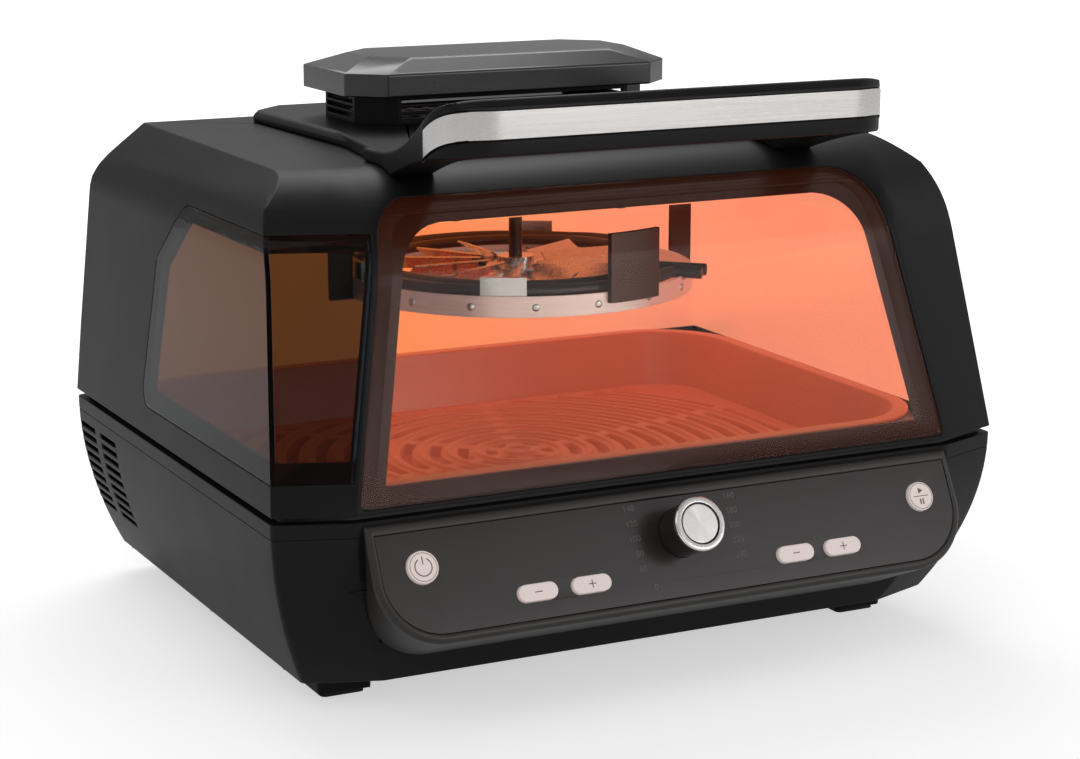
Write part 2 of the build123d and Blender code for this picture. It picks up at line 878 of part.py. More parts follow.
# Buttons: caps that slide in the housing, each with a flange that holds it in behind the wall
button_top = button_proud - panel_recess + fascia_thickness
flange_depth = panel_recess + panel_wall + 0.05
button_names = ["power_button", "start_button"]
button_names += [f"menu_button_{count + 1}" for count in range(len(pill_xs))]
for name, place in zip(button_names, button_places):
    with BuildPart() as button:
        extrude(button_face(-button_top, place), amount=-button_top - flange_depth)
        fillet(button.faces().sort_by(panel_axis)[-1].edges(), button_round)
        extrude(button_face(flange_depth, place, button_flange), amount=-button_flange)
        with BuildSketch(panel_plane.offset(-flange_depth - button_flange)):
            with Locations(place):
                Circle(shaft_r / 2)
        extrude(amount=-button_stem)
    button.part.label = name
    export_step(button.part, f"parts/{name}.step")

# Dial: a hollow sleeve on the encoder's shaft, with a bright ring and a brushed disc at its end
disc_top = knob_height - knob_disc_sink
disc_low = disc_top - knob_disc_thickness
ring_low = knob_height - knob_ring_height
knob_foot = knob_gap - panel_recess + fascia_thickness
with BuildPart() as knob_sleeve:
    with BuildSketch(panel_plane.offset(knob_foot)):
        with Locations((0, -knob_drop)):
            Circle(knob_r - 1)
    extrude(amount=ring_low - knob_foot)
    with BuildSketch(panel_plane.offset(ring_low)):
        with Locations((0, -knob_drop)):
            Circle(knob_r - knob_ring_wall)
    extrude(amount=disc_low - ring_low)
    with BuildSketch(panel_plane.offset(knob_foot)):
        with Locations((0, -knob_drop)):
            Circle(knob_r - 1 - knob_wall)
            Circle(shaft_r + knob_wall, mode=Mode.SUBTRACT)
    extrude(amount=disc_low - knob_foot - knob_wall, mode=Mode.SUBTRACT)
    with BuildSketch(panel_plane.offset(knob_foot)):
        with Locations((0, -knob_drop)):
            Circle(shaft_r)
    extrude(amount=disc_low - knob_foot - knob_wall, mode=Mode.SUBTRACT)
knob_sleeve.part.label = "knob_sleeve"
export_step(knob_sleeve.part, "parts/knob_sleeve.step")

with BuildPart() as knob_ring:
    with BuildSketch(panel_plane.offset(ring_low)):
        with Locations((0, -knob_drop)):
            Circle(knob_r)
            Circle(knob_r - knob_ring_wall, mode=Mode.SUBTRACT)
    extrude(amount=knob_ring_height)
    chamfer(knob_ring.faces().sort_by(panel_axis)[-1].outer_wire().edges(), button_round)
knob_ring.part.label = "knob_ring"
export_step(knob_ring.part, "parts/knob_ring.step")

with BuildPart() as knob_disc:
    with BuildSketch(panel_plane.offset(disc_low)):
        with Locations((0, -knob_drop)):
            Circle(knob_r - knob_ring_wall - knob_disc_gap)
    extrude(amount=knob_disc_thickness)
knob_disc.part.label = "knob_disc"
export_step(knob_disc.part, "parts/knob_disc.step")

with BuildPart() as dial_shaft:
    shaft_foot = board_depth + board_thickness + encoder_height - 1
    with BuildSketch(panel_plane.offset(-shaft_foot)):
        with Locations((0, -knob_drop)):
            Circle(shaft_r)
    extrude(amount=shaft_foot + disc_low - knob_wall)
dial_shaft.part.label = "dial_shaft"
export_step(dial_shaft.part, "parts/dial_shaft.step")

# Power board under the well, on four pillars of the bottom plate
with BuildPart() as power_board:
    with BuildSketch(Plane.XY.offset(power_board_z)):
        with Locations((power_board_x, power_board_y)):
            RectangleRounded(power_board_width, power_board_depth, 2)
    extrude(amount=board_thickness)
    with BuildSketch(Plane.XY.offset(power_board_z + board_thickness)):
        with Locations((power_board_x, power_board_y)):
            with GridLocations(34, 40, 3, 2):
                Rectangle(20, 24)
    extrude(amount=12)
power_board.part.label = "power_board"
export_step(power_board.part, "parts/power_board.step")

plate_top_z = ground_gap + plate_thickness
with BuildPart() as board_pillars:
    with BuildSketch(Plane.XY.offset(plate_top_z)):
        with Locations((power_board_x, power_board_y)):
            with GridLocations(power_board_width - 12, power_board_depth - 12, 2, 2):
                Circle(boss_r - 1)
    extrude(amount=power_board_z - plate_top_z)
board_pillars.part.label = "board_pillars"
export_step(board_pillars.part, "parts/board_pillars.step")

# Locating lugs: two small wedges on the rim that the closed lid comes down between
with BuildPart() as lid_lugs:
    with BuildSketch(Plane.XY.offset(rim_z)):
        with Locations(*[(side * lug_x, lug_y) for side in (1, -1)]):
            Rectangle(lug_width, lug_depth)
    extrude(amount=lug_height, taper=12)
lid_lugs.part.label = "lid_lugs"
export_step(lid_lugs.part, "parts/lid_lugs.step")

# Lid shell, open below, with the openings for both panes and the vent stack
stack_x = cap_half - neck_inset - neck_wall - cap_cut_x
stack_front_y = cap_front_y + neck_inset + neck_wall + cap_cut_y / 2
stack_rear_y = cap_rear_y - neck_inset - neck_wall - cap_cut_y / 2
with BuildPart() as stack_way:
    with BuildSketch(Plane.XY.offset(roof_z - lid_wall - 1)):
        with Locations((0, (stack_front_y + stack_rear_y) / 2)):
            RectangleRounded(2 * stack_x, stack_rear_y - stack_front_y, 6)
    extrude(amount=deck_top_z + lid_wall + 2 - roof_z)
with BuildPart() as lid_shell:
    add(outer_hood)
    add(wall_hood, mode=Mode.SUBTRACT)
    add(front_pane_prism(glass_fit), mode=Mode.SUBTRACT)
    add(side_opening, mode=Mode.SUBTRACT)
    add(stack_way.part, mode=Mode.SUBTRACT)
lid_shell.part.label = "lid_shell"
export_step(lid_shell.part, "parts/lid_shell.step")

# Panes, set flush in the shell, and the frames behind them
with BuildPart() as front_glass:
    add(outer_hood)
    add(glass_hood, mode=Mode.SUBTRACT)
    add(front_pane_prism(0), mode=Mode.INTERSECT)
front_glass.part.label = "front_glass"
export_step(front_glass.part, "parts/front_glass.step")

with BuildPart() as side_glass:
    add(outer_hood)
    add(glass_hood, mode=Mode.SUBTRACT)
    add(side_pane_bar, mode=Mode.INTERSECT)
side_glass.part.label = "side_glass"
export_step(side_glass.part, "parts/side_glass.step")

frame_band = wall_hood - frame_hood
with BuildPart() as above_ring:
    with Locations((0, 0, lid_z + lid_ring)):
        Box(2 * width, 2 * width, width, align=on_base)
with BuildPart() as front_frame:
    add(frame_band)
    add(front_pane_prism(frame_skirt), mode=Mode.INTERSECT)
    add(above_ring.part, mode=Mode.INTERSECT)
    add(front_pane_prism(-frame_lap), mode=Mode.SUBTRACT)
    add(front_glass.part, mode=Mode.SUBTRACT)
    add(side_pane_bar, mode=Mode.SUBTRACT)
front_frame.part.label = "front_frame"
export_step(front_frame.part, "parts/front_frame.step")

with BuildPart() as side_frame:
    add(frame_band)
    add(side_pane_prism(frame_skirt), mode=Mode.INTERSECT)
    add(side_pane_prism(-frame_lap), mode=Mode.SUBTRACT)
    add(side_glass.part, mode=Mode.SUBTRACT)
    add(front_pane_prism(frame_skirt + glass_fit), mode=Mode.SUBTRACT)
side_frame.part.label = "side_frame"
export_step(side_frame.part, "parts/side_frame.step")

# Lid ring: the flat ring that closes the gap between shell and lining
liner_hood = hood_form(liner_skin)
with BuildPart() as ring_slab:
    with Locations((0, 0, lid_z)):
        Box(2 * width, 2 * width, lid_ring, align=on_base)
with BuildPart() as lid_ring_plate:
    add(wall_hood)
    add(hood_form(lid_ring_width), mode=Mode.SUBTRACT)
    add(ring_slab.part, mode=Mode.INTERSECT)
lid_ring_plate.part.label = "lid_ring_plate"
export_step(lid_ring_plate.part, "parts/lid_ring_plate.step")

# Seal under the ring
with BuildPart() as seal_slab:
    with Locations((0, 0, rim_z + seal_gap)):
        Box(2 * width, 2 * width, lid_gap - seal_gap, align=on_base)
with BuildPart() as lid_seal:
    add(hood_form(seal_skin))
    add(hood_form(seal_skin + seal_width), mode=Mode.SUBTRACT)
    add(seal_slab.part, mode=Mode.INTERSECT)
lid_seal.part.label = "lid_seal"
export_step(lid_seal.part, "parts/lid_seal.step")

# Lining: thin steel walls and ceiling inside the lid
with BuildPart() as liner_block:
    with Locations((0, 0, lid_z + lid_ring)):
        Box(2 * width, 2 * width, ceiling_z - lid_z - lid_ring, align=on_base)
with BuildPart() as liner_hollow:
    add(hood_form(liner_skin + liner_wall))
    add(Pos(0, 0, -liner_wall) * liner_block.part, mode=Mode.INTERSECT)
with BuildPart() as lid_liner:
    add(liner_hood)
    add(liner_block.part, mode=Mode.INTERSECT)
    add(liner_hollow.part, mode=Mode.SUBTRACT)
    add(front_pane_prism(frame_skirt + 1), mode=Mode.SUBTRACT)
    add(side_pane_prism(frame_skirt + 1), mode=Mode.SUBTRACT)
    with BuildSketch(Plane.XY.offset(ceiling_z - 2 * liner_wall)):
        with Locations((0, fan_y)):
            Circle(fan_shaft_r + 3)
    extrude(amount=3 * liner_wall, mode=Mode.SUBTRACT)
lid_liner.part.label = "lid_liner"
export_step(lid_liner.part, "parts/lid_liner.step")

# Top deck and handle in one moulding: a bevelled plate whose arms rise to the bar at the front
with BuildPart() as handle:
    add(handle_loop(0))
    extrude(amount=handle_top_z - handle_low_z + handle_depth)
    chamfer(handle.faces().sort_by(Axis.Z)[-1].edges().group_by(Axis.Y)[0], handle_bevel)
    with BuildSketch(Plane.XY.offset(handle_low_z - handle_depth)) as inner:
        with BuildLine():
            Polyline(
                (deck_front_half - arm_width, deck_front_y + 2 * arm_width),
                (deck_front_half - arm_width, deck_front_y),
                (handle_half - arm_width, handle_front_y + handle_depth),
                (arm_width - handle_half, handle_front_y + handle_depth),
                (arm_width - deck_front_half, deck_front_y),
                (arm_width - deck_front_half, deck_front_y + 2 * arm_width),
                close=True,
            )
        make_face()
        fillet(inner.vertices().group_by(Axis.Y)[0], handle_corner_r / 2)
    extrude(amount=2 * handle_depth + handle_top_z - handle_low_z, mode=Mode.SUBTRACT)
    with BuildSketch(Plane.YZ.offset(-width)):
        with BuildLine():
            Spline(
                (handle_front_y - 1, handle_top_z),
                (handle_corner_y, handle_top_z - handle_corner_drop),
                (deck_front_y + deck_lip, deck_top_z),
                tangents=((1, 0), (1, 0)),
            )
            Polyline(
                (deck_front_y + deck_lip, deck_top_z),
                (deck_front_y + arm_width, deck_top_z),
                (deck_front_y + arm_width, roof_z - deck_sink),
                (deck_front_y, roof_z - deck_sink),
            )
            Spline(
                (deck_front_y, roof_z - deck_sink),
                (handle_corner_y, handle_low_z - handle_corner_sag),
                (handle_front_y - 1, handle_low_z),
            )
            Line((handle_front_y - 1, handle_low_z), (handle_front_y - 1, handle_top_z))
        make_face()
    extrude(amount=2 * width, mode=Mode.INTERSECT)
with BuildPart() as strip_bed:
    add(handle_loop(strip_proud))
    extrude(amount=width)
    with BuildSketch(Plane.XY.offset(handle_low_z - handle_depth)):
        add(handle_loop(strip_proud - strip_thickness))
    extrude(amount=width, mode=Mode.SUBTRACT)
    with BuildSketch(Plane.YZ.offset(-width)):
        with BuildLine():
            low_edge = Spline(
                (handle_front_y - 1, strip_low_z),
                (handle_corner_y, strip_low_z - handle_corner_drop),
                tangents=((1, 0), (1, -strip_end_slope)),
            )
            high_edge = Spline(
                (handle_front_y - 1, strip_high_z),
                (handle_corner_y, strip_high_z - handle_corner_drop),
                tangents=((1, 0), (1, -strip_end_slope)),
            )
            Line(low_edge @ 0, high_edge @ 0)
            Line(low_edge @ 1, high_edge @ 1)
        make_face()
    extrude(amount=2 * width, mode=Mode.INTERSECT)
with BuildPart() as top_deck:
    with BuildSketch(Plane.XY.offset(roof_z - deck_sink)):
        with BuildLine():
            Polyline(
                (deck_rear_half, deck_rear_y),
                (deck_side_half, deck_side_y),
                (deck_waist_half, deck_waist_y),
                (deck_front_half, deck_front_y),
                (deck_front_half - arm_width, deck_front_y),
                (deck_front_half - arm_width, deck_front_y + deck_lip),
                (arm_width - deck_front_half, deck_front_y + deck_lip),
                (arm_width - deck_front_half, deck_front_y),
                (-deck_front_half, deck_front_y),
                (-deck_waist_half, deck_waist_y),
                (-deck_side_half, deck_side_y),
                (-deck_rear_half, deck_rear_y),
                close=True,
            )
        make_face()
    extrude(amount=deck_top_z - roof_z + deck_sink)
    chamfer(top_deck.faces().sort_by(Axis.Z)[-1].edges().filter_by_position(Axis.Y, 0, rear_y), deck_bevel)
    add(handle.part)
    add(outer_hood, mode=Mode.SUBTRACT)
    add(stack_way.part, mode=Mode.SUBTRACT)
    add(strip_bed.part, mode=Mode.SUBTRACT)
top_deck.part.label = "top_deck"
export_step(top_deck.part, "parts/top_deck.step")

strip_bed.part.label = "handle_strip"
export_step(strip_bed.part, "parts/handle_strip.step")

# Vent stack: a louvred neck on the deck, a mesh filter in it and the eight-sided cap on top
with BuildPart() as cap_neck:
    extrude(octagon(deck_top_z, neck_inset), amount=cap_low_z - deck_top_z)
    extrude(octagon(deck_top_z, neck_inset + neck_wall), amount=cap_low_z - deck_top_z, mode=Mode.SUBTRACT)
    louvre_pitch = (cap_low_z - deck_top_z) / (louvre_rows + 1)
    middle_y = (cap_front_y + cap_rear_y) / 2
    side_span = cap_rear_y - cap_front_y - 2 * neck_inset - 2 * cap_cut_y - 2 * neck_wall
    for row in range(louvre_rows):
        with Locations((0, middle_y, deck_top_z + (row + 1) * louvre_pitch)):
            Box(2 * stack_x, 2 * width, louvre_height, mode=Mode.SUBTRACT)
            Box(2 * width, side_span, louvre_height, mode=Mode.SUBTRACT)
cap_neck.part.label = "cap_neck"
export_step(cap_neck.part, "parts/cap_neck.step")

with BuildPart() as vent_filter:
    extrude(octagon(deck_top_z, neck_inset + neck_wall + filter_gap), amount=filter_thickness)
    with BuildSketch(Plane.XY.offset(deck_top_z)):
        with Locations((0, middle_y)):
            with GridLocations(filter_pitch, filter_pitch, 14, 5):
                Circle(filter_pitch / 3)
    extrude(amount=filter_thickness, mode=Mode.SUBTRACT)
vent_filter.part.label = "vent_filter"
export_step(vent_filter.part, "parts/vent_filter.step")

with BuildPart() as cap_hollow:
    add(octagon(cap_side_z, cap_wall))
    add(
        octagon(
            cap_top_z - cap_wall,
            cap_bevel_x + cap_wall,
            cap_bevel_front + cap_wall,
            cap_bevel_rear + cap_wall,
        )
    )
    loft()
with BuildPart() as cap_cover:
    extrude(octagon(cap_low_z, 0), amount=cap_side_z - cap_low_z)
    add(octagon(cap_side_z, 0))
    add(octagon(cap_top_z, cap_bevel_x, cap_bevel_front, cap_bevel_rear))
    loft()
    hollow_height = cap_side_z - cap_low_z - cap_wall
    extrude(octagon(cap_low_z + cap_wall, cap_wall), amount=hollow_height, mode=Mode.SUBTRACT)
    add(cap_hollow.part, mode=Mode.SUBTRACT)
    extrude(octagon(cap_low_z, neck_inset + neck_wall), amount=cap_wall, mode=Mode.SUBTRACT)
cap_cover.part.label = "cap_cover"
export_step(cap_cover.part, "parts/cap_cover.step")

# Motor above the lining, with a cooling fan under it and the air fan and its nut in the oven
with BuildPart() as motor:
    with Locations((0, fan_y, motor_low_z)):
        Cylinder(motor_r, motor_height, align=on_base)
        Cylinder(fan_shaft_r + shaft_fit, motor_height, align=on_base, mode=Mode.SUBTRACT)
motor.part.label = "motor"
export_step(motor.part, "parts/motor.step")

with BuildPart() as motor_bracket:
    with Locations((0, fan_y, motor_low_z - bracket_plate)):
        Cylinder(bracket_r, bracket_plate, align=on_base)
        Cylinder(2 * fan_shaft_r, bracket_plate, align=on_base, mode=Mode.SUBTRACT)
    with Locations((0, fan_y, ceiling_z)):
        with PolarLocations(bracket_r - bracket_leg_r - 1, 3, start_angle=90):
            Cylinder(
                bracket_leg_r,
                motor_low_z - bracket_plate - ceiling_z,
                align=on_base,
            )
motor_bracket.part.label = "motor_bracket"
export_step(motor_bracket.part, "parts/motor_bracket.step")

with BuildPart() as fan_shaft:
    with Locations((0, fan_y, fan_shaft_z)):
        Cylinder(fan_shaft_r, motor_low_z + motor_height - 2 - fan_shaft_z, align=on_base)
fan_shaft.part.label = "fan_shaft"
export_step(fan_shaft.part, "parts/fan_shaft.step")

with BuildPart() as convection_fan:
    with Locations((0, fan_y, fan_low_z)):
        Cylinder(fan_hub_r, fan_hub_height, align=on_base)
    with Locations((0, fan_y, fan_low_z + fan_hub_height / 2)):
        Cylinder(fan_plate_r, fan_plate)
        with PolarLocations((fan_r + fan_plate_r - fan_blade_lap) / 2, fan_blades):
            Box(
                fan_r - fan_plate_r + fan_blade_lap,
                fan_blade_width,
                fan_blade_thickness,
                rotation=(fan_blade_pitch, 0, 0),
            )
        Cylinder(fan_shaft_r, width, mode=Mode.SUBTRACT)
convection_fan.part.label = "convection_fan"
export_step(convection_fan.part, "parts/convection_fan.step")

with BuildPart() as cooling_fan:
    with Locations((0, fan_y, cooling_fan_z)):
        Cylinder(fan_hub_r, cooling_fan_height, align=on_base)
        Cylinder(cooling_fan_r, fan_plate, align=on_base)
    with Locations((0, fan_y, cooling_fan_z + cooling_fan_height / 2)):
        with PolarLocations((cooling_fan_r + fan_hub_r) / 2 - blade_root, cooling_blades):
            Box(cooling_fan_r - fan_hub_r, fan_blade_thickness, cooling_fan_height)
    with Locations((0, fan_y, cooling_fan_z)):
        Cylinder(fan_shaft_r, width, mode=Mode.SUBTRACT)
cooling_fan.part.label = "cooling_fan"
export_step(cooling_fan.part, "parts/cooling_fan.step")

with BuildPart() as fan_nut:
    with BuildSketch(Plane.XY.offset(fan_low_z - nut_height)):
        with Locations((0, fan_y)):
            RegularPolygon(nut_across / 2, 6, major_radius=False)
            Circle(fan_shaft_r, mode=Mode.SUBTRACT)
    extrude(amount=nut_height)
fan_nut.part.label = "fan_nut"
export_step(fan_nut.part, "parts/fan_nut.step")


def heater_point(radius, angle, aside=0.0):
    """A point of the element at a radius and an angle about the fan's axis, shifted aside of that radius."""
    return (
        radius * cos(radians(angle)) - aside * sin(radians(angle)),
        fan_y + radius * sin(radians(angle)) + aside * cos(radians(angle)),
        heater_z,
    )


# Heating element: one tube in two loops joined at a return bend, its two ends bent outwards
inner_tail = heater_tail + heater_tail_step
mean_r = (heater_outer_r + heater_inner_r) / 2
bend_in = heater_bend_r * (1 - cos(radians(45)))
with BuildPart() as heater_element:
    with BuildLine() as heater_path:
        tail = heater_point(heater_outer_r + heater_bend_r + heater_tail_length, heater_tail, heater_bend_r)
        bend = heater_point(heater_outer_r + heater_bend_r, heater_tail, heater_bend_r)
        Line(tail, bend)
        bend_middle = heater_point(heater_outer_r + bend_in, heater_tail, heater_bend_r - bend_in)
        ThreePointArc(bend, bend_middle, heater_point(heater_outer_r, heater_tail))
        far_side = heater_point(-heater_outer_r, (heater_tail + heater_turn) / 2)
        turn = heater_point(heater_outer_r, heater_turn)
        ThreePointArc(heater_point(heater_outer_r, heater_tail), far_side, turn)
        inner_turn = heater_point(heater_inner_r, heater_turn)
        bulge = heater_point(mean_r, heater_turn, (heater_inner_r - heater_outer_r) / 2)
        ThreePointArc(turn, bulge, inner_turn)
        far_side = heater_point(-heater_inner_r, (inner_tail + heater_turn) / 2)
        ThreePointArc(inner_turn, far_side, heater_point(heater_inner_r, inner_tail))
        bend_middle = heater_point(heater_inner_r + bend_in, inner_tail, heater_bend_r - bend_in)
        bend = heater_point(heater_inner_r + heater_bend_r, inner_tail, heater_bend_r)
        ThreePointArc(heater_point(heater_inner_r, inner_tail), bend_middle, bend)
        tail = heater_point(heater_outer_r + heater_bend_r + heater_tail_length, inner_tail, heater_bend_r)
        Line(bend, tail)
    with BuildSketch(Plane(origin=heater_path.line @ 0, z_dir=heater_path.line % 0)):
        Circle(heater_tube_r)
    sweep(path=heater_path.line)
heater_element.part.label = "heater_element"
export_step(heater_element.part, "parts/heater_element.step")

# Reflector ring under the element with a notch for its ends, straps, clips, guard and terminal plate
with BuildPart() as reflector_ring:
    with Locations((0, fan_y, ring_low_z)):
        Cylinder(ring_outer_r, ring_height, align=on_base)
        Cylinder(ring_outer_r - ring_flange, ring_wall, align=on_base, mode=Mode.SUBTRACT)
    with Locations((0, fan_y, ring_low_z + ring_wall)):
        Cylinder(ring_outer_r - ring_wall, ring_height, align=on_base, mode=Mode.SUBTRACT)
    with Locations((0, fan_y, heater_z - heater_tube_r - tail_gap)):
        with PolarLocations(ring_outer_r, 1, start_angle=heater_tail + tail_notch_turn):
            Box(2 * ring_flange, tail_notch, ring_height, align=on_base, mode=Mode.SUBTRACT)
reflector_ring.part.label = "reflector_ring"
export_step(reflector_ring.part, "parts/reflector_ring.step")


def ring_strap(radius, thickness, strap_width, low, high, angle):
    """A curved strap of a given width standing between two heights outside a radius."""
    with BuildSketch(Plane.XY.offset(low)) as strap:
        with Locations((0, fan_y)):
            Circle(radius + thickness)
            Circle(radius, mode=Mode.SUBTRACT)
            with PolarLocations(radius, 1, start_angle=angle):
                Rectangle(4 * thickness, strap_width, mode=Mode.INTERSECT)
    return extrude(strap.sketch, amount=high - low)


strap_top_z = ceiling_z - liner_wall
with BuildPart() as heater_hangers:
    for angle in hanger_angles:
        add(ring_strap(ring_outer_r, hanger_reach, hanger_thickness, ring_low_z, strap_top_z, angle))
heater_hangers.part.label = "heater_hangers"
export_step(heater_hangers.part, "parts/heater_hangers.step")

clip_r = heater_outer_r + heater_tube_r
clip_thickness = ring_outer_r - ring_wall - clip_r
guard_span = (guard_rings - 1) * guard_pitch - guard_wire
with BuildPart() as element_clips:
    for angle in clip_angles:
        add(ring_strap(clip_r, clip_thickness, clip_width, ring_low_z + ring_wall, clip_top_z, angle))
element_clips.part.label = "element_clips"
export_step(element_clips.part, "parts/element_clips.step")

with BuildPart() as fan_guard:
    with BuildSketch(Plane.XY.offset(ring_low_z + ring_wall)):
        with Locations((0, fan_y)):
            for ring in range(guard_rings):
                Circle(clip_r - guard_gap - ring * guard_pitch)
                Circle(clip_r - guard_gap - ring * guard_pitch - guard_wire, mode=Mode.SUBTRACT)
            with PolarLocations(clip_r - guard_gap - guard_wire - guard_span / 2, guard_spokes):
                Rectangle(guard_span + guard_wire, guard_wire)
    extrude(amount=guard_thickness)
fan_guard.part.label = "fan_guard"
export_step(fan_guard.part, "parts/fan_guard.step")

terminal_low_z = ring_low_z + terminal_lift
with BuildPart() as terminal_plate:
    add(ring_strap(ring_outer_r, terminal_thickness, terminal_width, terminal_low_z, strap_top_z, terminal_angle))
terminal_plate.part.label = "terminal_plate"
export_step(terminal_plate.part, "parts/terminal_plate.step")

# Rear hinges: brackets with two outer knuckles on the base, a middle one on the lid, a pin in each
hinge_span = 3 * knuckle_length + 2 * knuckle_gap
knuckle_reach = hinge_axis_y + knuckle_r - rear_y
hinge_point = (hinge_axis_y, hinge_axis_z)
with BuildPart() as hinge_brackets:
    for x in (-hinge_x, hinge_x):
        with BuildSketch(Plane.YZ.offset(x - hinge_span / 2)):
            with Locations((rear_y, hinge_axis_z)):
                Rectangle(hinge_leaf, hinge_leaf_height, align=(Align.MIN, Align.MAX))
        extrude(amount=hinge_span)
        for low_x in (x - hinge_span / 2, x + hinge_span / 2 - knuckle_length):
            with BuildSketch(Plane.YZ.offset(low_x)):
                with Locations(hinge_point):
                    Circle(knuckle_r)
                with Locations((rear_y, hinge_axis_z)):
                    Rectangle(knuckle_reach, 2 * knuckle_r, align=(Align.MIN, Align.MAX))
            extrude(amount=knuckle_length)
        with BuildSketch(Plane.YZ.offset(x - knuckle_length / 2 - knuckle_gap)):
            with Locations((rear_y, hinge_axis_z - knuckle_r - knuckle_gap)):
                Rectangle(2 * knuckle_reach, hinge_leaf_height, align=(Align.MIN, Align.MIN))
        extrude(amount=knuckle_length + 2 * knuckle_gap, mode=Mode.SUBTRACT)
    with BuildSketch(Plane.YZ.offset(-width)):
        with Locations(hinge_point):
            Circle(pin_r)
    extrude(amount=2 * width, mode=Mode.SUBTRACT)
hinge_brackets.part.label = "hinge_brackets"
export_step(hinge_brackets.part, "parts/hinge_brackets.step")

with BuildPart() as hinge_arms:
    for x in (-hinge_x, hinge_x):
        with BuildSketch(Plane.YZ.offset(x - hinge_span / 2)):
            with Locations((rear_y, lid_z + 2 * lid_ring)):
                Rectangle(hinge_leaf, hinge_leaf_height, align=(Align.MIN, Align.MIN))
        extrude(amount=hinge_span)
        with BuildSketch(Plane.YZ.offset(x - knuckle_length / 2)):
            with Locations(hinge_point):
                Circle(knuckle_r)
            with Locations((rear_y, hinge_axis_z)):
                Rectangle(hinge_axis_y - rear_y, hinge_leaf_height / 2, align=(Align.MIN, Align.MIN))
        extrude(amount=knuckle_length)
    with BuildSketch(Plane.YZ.offset(-width)):
        with Locations(hinge_point):
            Circle(pin_r + pin_fit)
    extrude(amount=2 * width, mode=Mode.SUBTRACT)
hinge_arms.part.label = "hinge_arms"
export_step(hinge_arms.part, "parts/hinge_arms.step")

with BuildPart() as hinge_pins:
    with Locations((-hinge_x, hinge_axis_y, hinge_axis_z), (hinge_x, hinge_axis_y, hinge_axis_z)):
        Cylinder(pin_r, hinge_span, rotation=(0, 90, 0))
hinge_pins.part.label = "hinge_pins"
export_step(hinge_pins.part, "parts/hinge_pins.step")
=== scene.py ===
"""Countertop air fryer oven: finishes, fine parts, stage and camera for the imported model."""
import json
import math
import bmesh
import bpy
from mathutils import Matrix, Vector
from mathutils.bvhtree import BVHTree


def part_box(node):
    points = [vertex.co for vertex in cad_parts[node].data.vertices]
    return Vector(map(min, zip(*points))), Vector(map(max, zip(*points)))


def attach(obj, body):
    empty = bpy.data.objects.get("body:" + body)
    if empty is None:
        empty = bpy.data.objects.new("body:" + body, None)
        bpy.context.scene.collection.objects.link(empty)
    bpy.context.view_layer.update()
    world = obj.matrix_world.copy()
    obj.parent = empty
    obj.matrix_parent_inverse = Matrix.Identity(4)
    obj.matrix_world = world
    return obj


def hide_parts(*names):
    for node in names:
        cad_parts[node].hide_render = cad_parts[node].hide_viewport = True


bl_info = {
    "name": "Air Fryer Oven",
    "version": (1, 0, 0),
    "blender": (4, 5, 0),
    "location": "3D View > Sidebar > Oven",
    "description": "Dresses the countertop air fryer oven and sets up its stage",
    "category": "Object",
}

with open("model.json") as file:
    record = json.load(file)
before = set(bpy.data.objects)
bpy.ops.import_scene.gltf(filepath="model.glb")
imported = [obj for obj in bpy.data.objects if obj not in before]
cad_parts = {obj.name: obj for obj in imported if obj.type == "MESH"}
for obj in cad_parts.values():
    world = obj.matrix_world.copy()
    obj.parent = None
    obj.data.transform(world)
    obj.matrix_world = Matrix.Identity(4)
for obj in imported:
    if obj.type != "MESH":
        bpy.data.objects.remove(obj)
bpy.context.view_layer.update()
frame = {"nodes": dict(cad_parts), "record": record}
NODES = frame["nodes"]
RECORD = frame["record"]
BODY_OF = {node: body for body, members in RECORD["behaviour"]["bodies"].items() for node in members}
SLOT_OF = {part["node"]: part["material_slot"] for part in RECORD["subparts"]}

# The control panel's plane, as in the CAD model, and places on it: across, and down from its top edge
PANEL_TILT = math.radians(26.8)
PANEL_TOP = Vector((0, -0.1617, 0.112))
PANEL_OUT = Vector((0, -math.cos(PANEL_TILT), math.sin(PANEL_TILT)))
PANEL_UP = Vector((0, math.sin(PANEL_TILT), math.cos(PANEL_TILT)))
FASCIA_OUT = -0.0004
BUTTON_OUT = 0.0018
POWER_PLACE = (-0.152, 0.0244)
START_PLACE = (0.154, 0.0244)
PILL_XS = (-0.091, -0.0595, 0.0662, 0.0966)
PILL_DROP = 0.0456
DIAL_DROP = 0.0253

# The dial's numbers: size, step between rows, and each side's place, alignment, first number and step
NUMBER_SIZE = 0.0048
NUMBER_STEP = 0.0082
NUMBER_ROWS = 5
NUMBER_SIDES = ((-0.0248, "RIGHT", 140, -20), (0.0298, "LEFT", 160, 20))
ZERO_PLACE = (-0.0217, 0.0524)

# Signs on the buttons: arcs by radius, line width, and start and end in degrees; a line's half width
POWER_ARC = (0.0044, 0.0006, 120, 420)
POWER_EDGE = (0.0073, 0.0003, 0, 360)
START_EDGE = (0.0071, 0.0003, 0, 360)
LINE_HALF = 0.00026

# The heater ring's rivets
RING_CENTRE = Vector((0, 0.028, 0.1972))
RING_RADIUS = 0.105
RIVETS = 18
RIVET_TURN = math.radians(10)

# Rounding: which corners of a CAD node are bevelled, and which edges stay sharp in its shading
BEVEL_ANGLE = math.radians(32)
SHARP_ANGLE = math.radians(40)

# Hinge screws: the head, how far the outer ones are in from the leaves' ends, and the two in one leaf
SCREW_RADIUS = 0.0032
SCREW_HEIGHT = 0.0013
SCREW_INSET = 0.01
SCREW_STEP = 0.029
SCREW_EDGE = 0.007

# The window's dark print: where its top band starts, its corner radius, and its gap to the glass
PRINT_TOP = 0.257
PRINT_CORNER = 0.022
PRINT_OFF = 0.0002

